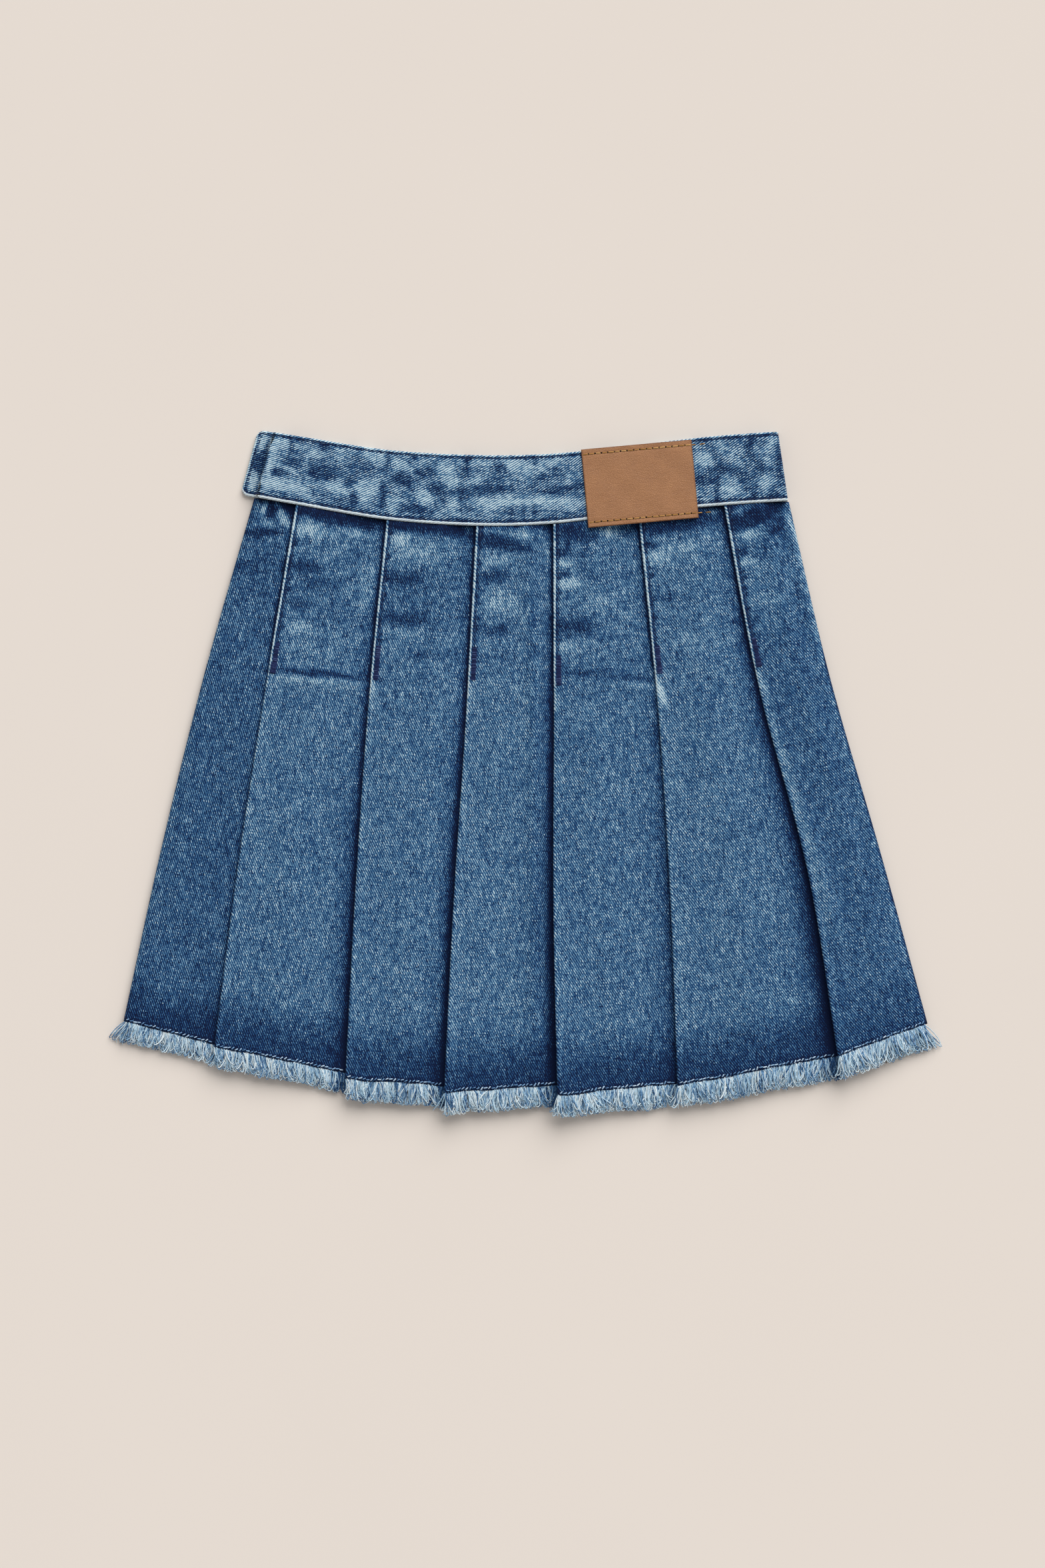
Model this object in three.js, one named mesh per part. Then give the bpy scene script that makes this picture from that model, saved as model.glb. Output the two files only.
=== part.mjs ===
// A girl's short pleated denim skirt with a raw hem, laid flat on its front with the back up.
// Millimetres. As the back is looked at, +X is to the right and +Y towards the waist. +Z is up off the surface.
import * as THREE from "three";

// Cloth
const clothThickness = 1.0;
const layerGap = 0.3; // between folded layers, and at seams
const layerPitch = clothThickness + layerGap;
const halfCloth = clothThickness / 2;

// Height of the cloth's middle surface in each flattened half
const frontOuterZ = halfCloth; // the front's outside lies on the surface
const frontInnerZ = frontOuterZ + 2 * layerPitch;
const backInnerZ = frontInnerZ + layerPitch;
const sideSeamZ = (frontOuterZ + backInnerZ) / 2;

// Pleats
const underlayAtWaist = 16; // depth of cloth folded under each pleat
const underlayAtHem = 24;
const foldInset = layerPitch / 2 + halfCloth; // from a fold's outer edge to the centre of its bend
const clearOfFold = 1.4; // a panel is down under its neighbour this far before the neighbour's edge
const pastFold = 2; // first point of a panel after its fold or its side bend
const liftStart = 0.28; // share of the length at which the tacks end and the pleats open
const liftReach = 34; // how far across a panel its raised fold edge is felt
const sideBend = 4.5; // width of the bend at each side

// Lines that run from the waist seam to the hem: the left side, six pleat edges and the right side.
// X is given at the band's top, at the seam, at one and two thirds of the length, and at the hem.
// hemBefore is the hem's height on the panel that goes under the edge. lift is how high the edge stands at the hem,
// and dive is the share of the panel before it that slopes down to go under.
const lines = [
  {
    bandX: -132.3, bandY: 178.8, waistX: -141.6, waistY: 144.6, hipX: -167.6, thighX: -190.2,
    hemX: -210.2, hemY: -129.9, hemBefore: -129.9, lift: 0.0, dive: 1.0,
  },
  {
    bandX: -112.5, bandY: 175.6, waistX: -120.0, waistY: 140.7, hipX: -135.8, thighX: -150.5,
    hemX: -162.8, hemY: -143.0, hemBefore: -142.4, lift: 0.9, dive: 1.0,
  },
  {
    bandX: -72.0, bandY: 169.4, waistX: -72.5, waistY: 132.8, hipX: -82.2, thighX: -89.0,
    hemX: -94.2, hemY: -160.0, hemBefore: -157.2, lift: 2.0, dive: 1.0,
  },
  {
    bandX: -26.5, bandY: 166.7, waistX: -25.6, waistY: 129.6, hipX: -31.0, thighX: -37.6,
    hemX: -42.5, hemY: -167.0, hemBefore: -163.8, lift: 3.4, dive: 0.6,
  },
  {
    bandX: 14.0, bandY: 167.4, waistX: 14.8, waistY: 130.7, hipX: 15.0, thighX: 14.7,
    hemX: 16.8, hemY: -168.4, hemBefore: -163.6, lift: 4.4, dive: 0.4,
  },
  {
    bandX: 57.0, bandY: 171.9, waistX: 59.2, waistY: 136.2, hipX: 69.3, thighX: 75.8,
    hemX: 79.6, hemY: -163.6, hemBefore: -162.8, lift: 1.2, dive: 1.0,
  },
  {
    bandX: 99.4, bandY: 176.6, waistX: 104.2, waistY: 140.3, hipX: 122.6, thighX: 147.9,
    hemX: 163.5, hemY: -147.9, hemBefore: -148.2, lift: 3.6, dive: 0.8,
  },
  {
    bandX: 132.6, bandY: 179.0, waistX: 137.8, waistY: 142.6, hipX: 159.2, thighX: 185.5,
    hemX: 210.6, hemY: -131.2, hemBefore: -131.2, lift: 0.0, dive: 1.0,
  },
];
const panelCount = lines.length - 1;

// The two halves, each with its lines in the order met from left to right as its outside is looked at.
// way is the direction of that order in X. The front keeps its outside flat on the surface and dives in frontDive.
const frontDive = 0.35;
const backHalf = {
  order: [0, 1, 2, 3, 4, 5, 6, 7],
  way: 1,
  heightAt: (h) => backInnerZ + h,
  seamHeight: sideSeamZ + layerGap / 2 - backInnerZ,
  sideHeight: 0,
  hemRise: 0,
  rows: 8,
  foldSteps: 3,
  locksPerMetre: 300,
};
const frontHalf = {
  order: [7, 6, 5, 4, 3, 2, 1, 0],
  way: -1,
  heightAt: (h) => frontInnerZ - h,
  seamHeight: frontInnerZ - (sideSeamZ - layerGap / 2),
  sideHeight: 2 * layerPitch,
  hemRise: 2.5, // the middle of the front hem lies this much higher, hidden by the back
  rows: 4,
  foldSteps: 2,
  locksPerMetre: 170,
};

// Waistband
const bandThickness = 2.4; // two layers and their turnings
const bandLowEdgeZ = 7.2; // middle of the back band where it lies over the pleats
const bandTopEdgeZ = 5.2;
const bandCorner = 0.7; // rounding of its long edges
const bandBend = 2.0; // radius to the band's middle where it turns down at each side
const bandBendSteps = 3;
const bandStations = 14;
const tabReach = 8; // how far the front band's free end stands out past the left side
const tabCorner = 4;

// Leather patch, sewn on a little askew and standing past the band's lower edge
const patchWidth = 58;
const patchHeight = 41.3;
const patchThickness = 1.2;
const patchCentre = new THREE.Vector2(60.0, 151.5);
const patchTilt = THREE.MathUtils.degToRad(5.2);
const patchSteps = 4;

// Frayed hem, in locks of threads that stand on a narrow strip
const fringeStrip = 1.2;
const fringeAtLeft = 10.6; // from the hem to the tips
const fringeAtRight = 12.4;
const lockTipWidth = 0.9;
const lockTipThickness = 0.6;
const lockSway = 1.1;
const sideSplay = 12; // how far the last lock at each side leans out
const sideSplayReach = 8;
const backLockDroop = 1.3;
const frontTipZ = 0.6;

const denim = new THREE.MeshStandardMaterial({ color: 0x4d6f8f, roughness: 0.9, metalness: 0 });
const bandDenim = new THREE.MeshStandardMaterial({ color: 0x5f7d98, roughness: 0.9, metalness: 0 });
const frayedDenim = new THREE.MeshStandardMaterial({ color: 0x9fb6c6, roughness: 0.95, metalness: 0 });
const leather = new THREE.MeshStandardMaterial({ color: 0xa37554, roughness: 0.6, metalness: 0 });

const mix = THREE.MathUtils.lerp;
const smooth = (low, high, t) => THREE.MathUtils.smoothstep(t, low, high);

// Smooth curves through the lines' own points. A curve across the skirt is read by line number, so 2.5 is halfway
// between lines 2 and 3, and a line's own curve is read by v, from 0 at the waist seam to 1 at the hem.
const seamCurve = new THREE.SplineCurve(lines.map((l) => new THREE.Vector2(l.waistX, l.waistY)));
const bandTopCurve = new THREE.SplineCurve(lines.map((l) => new THREE.Vector2(l.bandX, l.bandY)));
const lineCurves = lines.map(
  (l) => new THREE.SplineCurve([l.waistX, l.hipX, l.thighX, l.hemX].map((x, i) => new THREE.Vector2(x, i))),
);
const atLine = (curve, line) => curve.getPoint(THREE.MathUtils.clamp(line / panelCount, 0, 1));
const lineX = (line, v) => lineCurves[line].getPoint(v).x;

// Y on a curve across the skirt at an X, by halving.
function yAt(curve, x) {
  let low = 0;
  let high = 1;
  for (let i = 0; i < 24; i++) {
    const middle = (low + high) / 2;
    if (curve.getPoint(middle).x < x) low = middle;
    else high = middle;
  }
  return curve.getPoint(low).y;
}

// A closed solid from two matching grids of points, the outer and the inner face of a wall.
function wallBetween(outer, inner) {
  const rows = outer.length;
  const columns = outer[0].length;
  const positions = [...outer.flat(), ...inner.flat()].flatMap((p) => [p.x, p.y, p.z]);
  const at = (row, column, layer) => (layer * rows + row) * columns + column;
  const index = [];
  const quad = (a, b, c, d) => index.push(a, b, c, a, c, d);
  const lastRow = rows - 1;
  const lastColumn = columns - 1;
  for (let r = 0; r < lastRow; r++) {
    for (let c = 0; c < lastColumn; c++) {
      quad(at(r, c, 0), at(r + 1, c, 0), at(r + 1, c + 1, 0), at(r, c + 1, 0));
      quad(at(r, c, 1), at(r, c + 1, 1), at(r + 1, c + 1, 1), at(r + 1, c, 1));
    }
    quad(at(r, 0, 0), at(r, 0, 1), at(r + 1, 0, 1), at(r + 1, 0, 0));
    quad(at(r, lastColumn, 0), at(r + 1, lastColumn, 0), at(r + 1, lastColumn, 1), at(r, lastColumn, 1));
  }
  for (let c = 0; c < lastColumn; c++) {
    quad(at(0, c, 0), at(0, c + 1, 0), at(0, c + 1, 1), at(0, c, 1));
    quad(at(lastRow, c, 0), at(lastRow, c, 1), at(lastRow, c + 1, 1), at(lastRow, c + 1, 0));
  }
  return solid(positions, index);
}

function solid(positions, index) {
  const geometry = new THREE.BufferGeometry();
  geometry.setAttribute("position", new THREE.Float32BufferAttribute(positions, 3));
  geometry.setIndex(index);
  return geometry;
}

const underlayAt = (v) => mix(underlayAtWaist, underlayAtHem, v);

// One panel of a half at v: where it starts and ends, and where it slopes down to go under the next one.
function panelAt(half, p, v) {
  const startLine = half.order[p];
  const endLine = half.order[p + 1];
  const startX = lineX(startLine, v);
  const endX = lineX(endLine, v);
  const width = Math.abs(endX - startX);
  const last = p === panelCount - 1;
  const diveEnd = width - (last ? sideBend : clearOfFold);
  const dive = half.way > 0 ? lines[endLine].dive : frontDive;
  const diveStart = diveEnd - dive * (diveEnd - underlayAt(v) - pastFold);
  return { startLine, endLine, startX, endX, width, last, diveStart, diveEnd };
}

// How much the cloth near a fold edge is raised, at the distance w from the edge.
function liftAt(half, line, w, v) {
  if (half.way < 0) return 0;
  const near = Math.max(0, 1 - w / liftReach);
  return lines[line].lift * smooth(liftStart, 1, v) * near * near;
}

// Height of a panel's cloth above its half's inner layer, at the distance w from its start.
function panelHeight(half, p, w, v) {
  const panel = panelAt(half, p, v);
  const startHeight = p === 0 ? half.sideHeight : 2 * layerPitch;
  const endHeight = panel.last ? half.sideHeight : 0;
  const down = smooth(panel.diveStart, panel.diveEnd, w);
  const height = mix(startHeight + liftAt(half, panel.startLine, w, v), endHeight, down);
  const fromSide = p === 0 ? w : panel.width - w;
  if ((p > 0 && !panel.last) || fromSide >= sideBend) return height;
  const share = Math.sqrt(1 - (1 - fromSide / sideBend) ** 2);
  return mix(half.seamHeight, height, share);
}

// Hem height on a panel at the share f of its width.
function hemHeight(half, p, f) {
  const start = lines[half.order[p]];
  const end = lines[half.order[p + 1]];
  const startY = half.way > 0 ? start.hemY : start.hemBefore;
  const endY = half.way > 0 ? end.hemBefore : end.hemY;
  const rise = half.hemRise * Math.sin((Math.PI * (p + f)) / panelCount);
  return mix(startY, endY, f) + rise;
}

// The cloth's middle line across a half at v, from one side seam to the other: x, the height above the half's inner
// layer, and the Y that the same thread has at the hem.
function clothSection(half, v) {
  const section = [];
  const add = (x, height, hem) => section.push({ x, height, hem });
  const underlay = underlayAt(v);
  const bend = (steps, put) => {
    for (let i = 0; i <= steps; i++) put((i / steps) * Math.PI);
  };
  for (let p = 0; p < panelCount; p++) {
    const panel = panelAt(half, p, v);
    const onPanel = (w) => {
      const x = panel.startX + half.way * w;
      add(x, panelHeight(half, p, w, v), hemHeight(half, p, w / panel.width));
    };
    const sideSteps = half.foldSteps;
    for (let i = 0; p === 0 && i <= sideSteps; i++) {
      onPanel(sideBend * (1 - Math.cos((i / sideSteps) * (Math.PI / 2))));
    }
    const from = pastFold + (p === 0 ? sideBend : foldInset);
    const slope = panel.diveEnd - panel.diveStart;
    onPanel(from);
    onPanel((from + panel.diveStart) / 2);
    for (const share of [0, 1 / 3, 2 / 3]) onPanel(panel.diveStart + share * slope);
    if (panel.last) {
      for (let i = sideSteps; i >= 0; i--) {
        onPanel(panel.width - sideBend * (1 - Math.cos((i / sideSteps) * (Math.PI / 2))));
      }
      break;
    }
    onPanel(panel.diveEnd);
    // Under the next pleat, round its inner fold, back to its edge and round the outer fold
    const hemUnder = hemHeight(half, p, 1 + underlay / panel.width);
    const hemNext = hemHeight(half, p + 1, 0);
    const middleX = panel.endX + half.way * (underlay / 2);
    add(middleX, 0, mix(hemHeight(half, p, 1), hemUnder, 0.5));
    const innerTop = layerPitch + liftAt(half, panel.endLine, underlay, v);
    bend(half.foldSteps, (a) => {
      const out = underlay - foldInset + Math.sin(a) * (layerPitch / 2);
      add(panel.endX + half.way * out, (innerTop / 2) * (1 - Math.cos(a)), hemUnder);
    });
    add(middleX, layerPitch + liftAt(half, panel.endLine, underlay / 2, v), mix(hemNext, hemUnder, 0.5));
    const edgeBase = layerPitch + liftAt(half, panel.endLine, foldInset, v);
    bend(half.foldSteps, (a) => {
      const out = foldInset - Math.sin(a) * (layerPitch / 2);
      add(panel.endX + half.way * out, edgeBase + (layerPitch / 2) * (1 - Math.cos(a)), hemNext);
    });
  }
  return section;
}

// A path moved out by a distance along its own normal in the XZ plane. Its ends stand upright.
function movedOut(path, distance) {
  return path.map((point, i) => {
    const before = path[Math.max(i - 1, 0)];
    const after = path[Math.min(i + 1, path.length - 1)];
    const atEnd = i === 0 || i === path.length - 1;
    const along = new THREE.Vector2(atEnd ? 0 : after.x - before.x, after.z - before.z).normalize();
    return new THREE.Vector3(point.x - along.y * distance, point.y, point.z + along.x * distance);
  });
}

function clothHalf(half) {
  const seamY = clothSection(half, 0).map((s) => yAt(seamCurve, s.x) - layerGap);
  const hemY = clothSection(half, 1).map((s) => s.hem);
  const outer = [];
  const inner = [];
  for (let r = 0; r <= half.rows; r++) {
    const v = r / half.rows;
    const path = clothSection(half, v).map(
      (s, i) => new THREE.Vector3(s.x, mix(seamY[i], hemY[i], v), half.heightAt(s.height)),
    );
    outer.push(movedOut(path, halfCloth));
    inner.push(movedOut(path, -halfCloth));
  }
  return wallBetween(outer, inner);
}

// A point of the band's plan at a line number and the share b of its height, moved along the seam by a distance.
function bandPoint(line, b, along = 0) {
  const inward = line < panelCount / 2 ? 0.2 : -0.2;
  const direction = atLine(seamCurve, line + inward).sub(atLine(seamCurve, line)).normalize();
  const point = atLine(seamCurve, line).lerp(atLine(bandTopCurve, line), b);
  return point.addScaledVector(direction, along);
}

const bandHeightAt = (line) => bandPoint(line, 0).distanceTo(bandPoint(line, 1));
const bandMiddleZ = (b) => mix(bandLowEdgeZ, bandTopEdgeZ, b);

// Shares of the band's height at which its section has points, with the two long edges rounded.
function bandShares(height) {
  const c = bandCorner / height;
  return [0, c, 0.35, 0.65, 1 - c, 1];
}

function bandHalfThickness(height, b) {
  const toEdge = Math.min(b, 1 - b) * height;
  return bandThickness / 2 - Math.max(0, bandCorner - toEdge);
}

// The back band lies over the pleats at its seam and turns down at both sides to meet the front band.
function backBand() {
  const stations = [];
  const seamZ = bandThickness + layerGap;
  const side = (line) => {
    const turn = [{ line, out: bandThickness / 2, drop: null, lean: 1 }];
    for (let i = 0; i <= bandBendSteps; i++) {
      const a = (i / bandBendSteps) * (Math.PI / 2);
      const out = bandThickness / 2 + bandBend * (1 - Math.cos(a));
      turn.push({ line, out, drop: bandBend * (1 - Math.sin(a)), lean: Math.cos(a) });
    }
    return turn;
  };
  stations.push(...side(0));
  for (let i = 1; i < bandStations; i++) {
    stations.push({ line: (i / bandStations) * panelCount, out: 0, drop: 0, lean: 0 });
  }
  stations.push(...side(panelCount).reverse());
  const outer = [];
  const inner = [];
  for (const { line, out, drop, lean } of stations) {
    const height = bandHeightAt(line);
    const rise = Math.sqrt(1 - lean * lean);
    const face = (sign) =>
      bandShares(height).map((b) => {
        const half = sign * bandHalfThickness(height, b);
        const p = bandPoint(line, b, out - half * lean);
        const z = drop === null ? seamZ : bandMiddleZ(b) - drop;
        return new THREE.Vector3(p.x, p.y, z + half * rise);
      });
    outer.push(face(1));
    inner.push(face(-1));
  }
  return wallBetween(outer, inner);
}

// The front band lies flat on the surface, and its free end stands out past the left side with rounded corners.
function frontBand() {
  const stations = [0, 0.12, 0.4, 0.7, 1].map((share) => ({ line: 0, out: share * tabCorner - tabReach }));
  for (let i = 0; i <= bandStations; i++) stations.push({ line: (i / bandStations) * panelCount, out: 0 });
  const upper = [];
  const lower = [];
  for (const { line, out } of stations) {
    const height = bandHeightAt(line);
    const short = Math.max(0, 1 - (out + tabReach) / tabCorner);
    const inset = out < 0 ? (tabCorner * (1 - Math.sqrt(1 - short * short))) / height : 0;
    const points = bandShares(height).map((share) => {
      const p = bandPoint(line, mix(inset, 1 - inset, share), out);
      return new THREE.Vector3(p.x, p.y, bandThickness / 2 + bandHalfThickness(height, share));
    });
    upper.push(points);
    lower.push(points.map((p) => new THREE.Vector3(p.x, p.y, 0)));
  }
  return wallBetween(upper, lower);
}

// The patch is made from points of the back band's own top face, moved out.
function patch() {
  const outer = [];
  const inner = [];
  for (let i = 0; i <= patchSteps; i++) {
    const column = [];
    for (let j = 0; j <= patchSteps; j++) {
      const across = patchWidth * (i / patchSteps - 0.5);
      const up = patchHeight * (j / patchSteps - 0.5);
      const plan = new THREE.Vector2(across, up).rotateAround(new THREE.Vector2(), patchTilt).add(patchCentre);
      const seamY = yAt(seamCurve, plan.x);
      const b = (plan.y - seamY) / (yAt(bandTopCurve, plan.x) - seamY);
      const z = bandMiddleZ(b) + bandThickness / 2 + layerGap;
      column.push(new THREE.Vector3(plan.x, plan.y, z));
    }
    inner.push(column);
    outer.push(column.map((p) => new THREE.Vector3(p.x, p.y, p.z + patchThickness)));
  }
  return wallBetween(outer, inner);
}

// The frayed edge of one panel: a narrow strip just past the hem, with a lock of threads on each of its cells.
function fringe(half, p) {
  const { startX, width, last } = panelAt(half, p, 1);
  const low = p === 0 ? sideBend * 0.3 : foldInset + 0.6;
  const high = width - (last ? sideBend * 0.3 : clearOfFold + 1);
  const lockCount = Math.round(((high - low) / 1000) * half.locksPerMetre);
  const positions = [];
  const index = [];
  const face = (a, b, c, d) => {
    if (half.way > 0) index.push(a, b, c, a, c, d);
    else index.push(d, c, b, d, b, a);
  };
  const addFour = (points) => {
    const base = positions.length / 3;
    positions.push(...points.flat());
    return [base, base + 1, base + 2, base + 3];
  };
  const rings = [];
  for (let i = 0; i <= lockCount; i++) {
    const w = mix(low, high, i / lockCount);
    const x = startX + half.way * w;
    const y = hemHeight(half, p, w / width) - layerGap;
    const z = half.heightAt(panelHeight(half, p, w, 1));
    const top = z + halfCloth;
    const under = z - halfCloth;
    rings.push(addFour([[x, y, top], [x, y, under], [x, y - fringeStrip, under], [x, y - fringeStrip, top]]));
  }
  const first = rings[0];
  const end = rings[lockCount];
  face(first[0], first[1], first[2], first[3]);
  face(end[3], end[2], end[1], end[0]);
  for (let i = 0; i < lockCount; i++) {
    const a = rings[i];
    const b = rings[i + 1];
    face(a[0], b[0], b[1], a[1]);
    face(a[1], b[1], b[2], a[2]);
    face(a[0], a[3], b[3], b[0]);
    const w = mix(low, high, (i + 0.5) / lockCount);
    const rootX = startX + half.way * w;
    const length = mix(fringeAtLeft, fringeAtRight, rootX / (2 * lines[panelCount].hemX) + 0.5);
    const reach = length * (0.93 + 0.07 * Math.sin(i * 2.4 + p));
    const splay = Math.exp(-(p === 0 ? w : last ? width - w : width) / sideSplayReach) * sideSplay;
    const fan = Math.sin(w * 0.31 + p * 1.7) * lockSway + (p === 0 ? -splay : splay);
    const x = rootX + half.way * fan;
    const y = hemHeight(half, p, w / width) - reach;
    const rootZ = half.heightAt(panelHeight(half, p, w, 1));
    const z = half.way > 0 ? rootZ - backLockDroop : frontTipZ;
    const side = (half.way * lockTipWidth) / 2;
    const deep = lockTipThickness / 2;
    const tip = addFour([
      [x - side, y, z + deep],
      [x - side, y, z - deep],
      [x + side, y, z - deep],
      [x + side, y, z + deep],
    ]);
    const root = [a[3], a[2], b[2], b[3]];
    root.forEach((corner, k) => {
      const n = (k + 1) % 4;
      face(corner, root[n], tip[n], tip[k]);
    });
    face(...tip);
  }
  return solid(positions, index);
}

const skirt = new THREE.Group();
skirt.name = "pleated_denim_skirt";

function place(name, geometry, material) {
  const mesh = new THREE.Mesh(geometry, material);
  mesh.name = name;
  skirt.add(mesh);
}

place("skirt_back", clothHalf(backHalf), denim);
place("skirt_front", clothHalf(frontHalf), denim);
place("waistband_back", backBand(), bandDenim);
place("waistband_front_tab", frontBand(), bandDenim);
place("leather_patch", patch(), leather);
for (let p = 0; p < panelCount; p++) {
  place(`frayed_hem_back_${p + 1}`, fringe(backHalf, p), frayedDenim);
  place(`frayed_hem_front_${p + 1}`, fringe(frontHalf, p), frayedDenim);
}

export default skirt;
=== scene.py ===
# A pleated denim skirt with a raw, frayed hem, laid flat with its back up.
# The tables are in millimetres, +X to the right as the back is looked at, +Y to the waist and +Z up.
import math
import bpy
import numpy as np
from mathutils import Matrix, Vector
from mathutils.bvhtree import BVHTree


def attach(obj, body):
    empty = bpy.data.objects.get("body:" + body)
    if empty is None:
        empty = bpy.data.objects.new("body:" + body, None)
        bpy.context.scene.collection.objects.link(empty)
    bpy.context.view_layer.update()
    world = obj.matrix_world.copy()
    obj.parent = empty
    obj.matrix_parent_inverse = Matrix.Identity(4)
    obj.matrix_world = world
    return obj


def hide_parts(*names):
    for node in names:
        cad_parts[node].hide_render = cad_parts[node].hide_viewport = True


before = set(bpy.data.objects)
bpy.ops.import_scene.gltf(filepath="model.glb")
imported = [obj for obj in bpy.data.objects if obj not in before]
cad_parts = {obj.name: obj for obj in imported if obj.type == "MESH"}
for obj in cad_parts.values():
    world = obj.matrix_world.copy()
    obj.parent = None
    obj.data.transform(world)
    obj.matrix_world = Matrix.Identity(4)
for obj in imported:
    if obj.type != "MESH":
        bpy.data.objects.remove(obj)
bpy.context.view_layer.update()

scene = bpy.context.scene
mm = 0.001


# Numbers and curves
def smoothStep(low, high, value):
    t = np.clip((np.asarray(value, float) - low) / (high - low), 0.0, 1.0)
    return t * t * (3.0 - 2.0 * t)


def between(a, b, t):
    return a + (b - a) * t


def bump(value, centre, width):
    return np.exp(-(((np.asarray(value, float) - centre) / width) ** 2))


def splineAt(values, t):  # a smooth curve through evenly spaced values, t from 0 to 1
    values = np.asarray(values, float)
    last = len(values) - 1
    place = np.clip(np.asarray(t, float), 0.0, 1.0) * last
    i = np.minimum(np.floor(place).astype(int), last)
    s = place - i
    a, b = values[np.maximum(i - 1, 0)], values[i]
    c, d = values[np.minimum(i + 1, last)], values[np.minimum(i + 2, last)]
    startSlope, endSlope = (c - a) / 2, (d - b) / 2
    cubic = (2 * b - 2 * c + startSlope + endSlope) * s**3
    return cubic + (-3 * b + 3 * c - 2 * startSlope - endSlope) * s**2 + startSlope * s + b


def waves(position, lengths, seed):  # a smooth uneven line from a few waves, within about -1 to 1
    rng = np.random.default_rng(seed)
    total = 0.0
    for length in lengths:
        total = total + np.sin(np.asarray(position, float) * (2 * math.pi / length) + rng.uniform(0, 6.28))
    return total / len(lengths)


def srgb(r, g, b):
    parts = [c / 255 for c in (r, g, b)]
    return tuple(((c + 0.055) / 1.055) ** 2.4 if c > 0.04045 else c / 12.92 for c in parts) + (1.0,)


# Node trees
def feed(tree, socket, value):
    if isinstance(value, bpy.types.NodeSocket):
        tree.links.new(value, socket)
    else:
        socket.default_value = value


def put(tree, kind, inputs=None, **settings):
    node = tree.nodes.new(kind)
    for name, value in settings.items():
        setattr(node, name, value)
    for key, value in (inputs or {}).items():
        feed(tree, node.inputs[key], value)
    return node


def calc(tree, operation, *values):
    return put(tree, "ShaderNodeMath", dict(enumerate(values)), operation=operation).outputs[0]


def vectorOf(tree, *parts):
    return put(tree, "ShaderNodeCombineXYZ", dict(enumerate(parts))).outputs[0]


# A smooth change from start to end while the value goes from low to high
def fade(tree, value, low, high, start=0.0, end=1.0):
    inputs = {"Value": value, "From Min": low, "From Max": high, "To Min": start, "To Max": end}
    return put(tree, "ShaderNodeMapRange", inputs, interpolation_type="SMOOTHSTEP").outputs[0]


# Around 0, and mostly within 0.25 of it
def noise(tree, place, scale, detail=2.0, rough=0.5, stretch=(1, 1, 1)):
    spread = put(tree, "ShaderNodeVectorMath", {0: place, 1: stretch}, operation="MULTIPLY").outputs[0]
    inputs = {"Vector": spread, "Scale": scale, "Detail": detail, "Roughness": rough}
    return calc(tree, "SUBTRACT", put(tree, "ShaderNodeTexNoise", inputs).outputs["Fac"], 0.5)


def scattered(tree, *cell):  # a random number around 0 for each cell
    inputs = {"Vector": vectorOf(tree, *cell)}
    return calc(tree, "SUBTRACT", put(tree, "ShaderNodeTexWhiteNoise", inputs).outputs["Value"], 0.5)


def total(tree, start, *terms):  # start plus each amount times value
    for amount, value in terms:
        start = calc(tree, "MULTIPLY_ADD", value, amount, start)
    return start


def times(tree, *values):
    result = values[0]
    for value in values[1:]:
        result = calc(tree, "MULTIPLY", result, value)
    return result


def ramp(tree, value, *stops):
    node = put(tree, "ShaderNodeValToRGB", {0: value})
    elements = node.color_ramp.elements
    elements[0].position, elements[1].position = stops[0][0], stops[-1][0]
    for place, _ in stops[1:-1]:
        elements.new(place)
    for element, (_, colour) in zip(elements, stops):
        element.color = srgb(*colour)
    return node.outputs[0]


def mixed(tree, share, a, b):
    node = put(tree, "ShaderNodeMix", data_type="RGBA")
    sockets = {socket.identifier: socket for socket in node.inputs}
    for key, value in (("Factor_Float", share), ("A_Color", a), ("B_Color", b)):
        feed(tree, sockets[key], value)
    return next(socket for socket in node.outputs if socket.identifier == "Result_Color")


def startMaterial(name):
    material = bpy.data.materials.new(name)
    material.use_nodes = True
    material.node_tree.nodes.clear()
    return material, material.node_tree


# The depth is the bump's, in millimetres
def finishMaterial(tree, colour, rough, height=None, depth=0.1, **fixed):
    shader = put(tree, "ShaderNodeBsdfPrincipled", {"Base Color": colour, "Roughness": rough})
    for name, value in fixed.items():
        shader.inputs[name].default_value = value
    if height is not None:
        inputs = {"Height": height, "Distance": depth * mm, "Strength": 1.0}
        feed(tree, shader.inputs["Normal"], put(tree, "ShaderNodeBump", inputs).outputs[0])
    put(tree, "ShaderNodeOutputMaterial", {"Surface": shader.outputs[0]})


def onCloth(tree):  # the cloth's own plan in millimetres
    flat = put(tree, "ShaderNodeUVMap", uv_map="cloth").outputs[0]
    inputs = {0: flat, 1: (1 / mm, 1 / mm, 1 / mm)}
    return put(tree, "ShaderNodeVectorMath", inputs, operation="MULTIPLY").outputs[0]


def read(tree, name):
    return put(tree, "ShaderNodeAttribute", attribute_name=name).outputs["Fac"]


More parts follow.
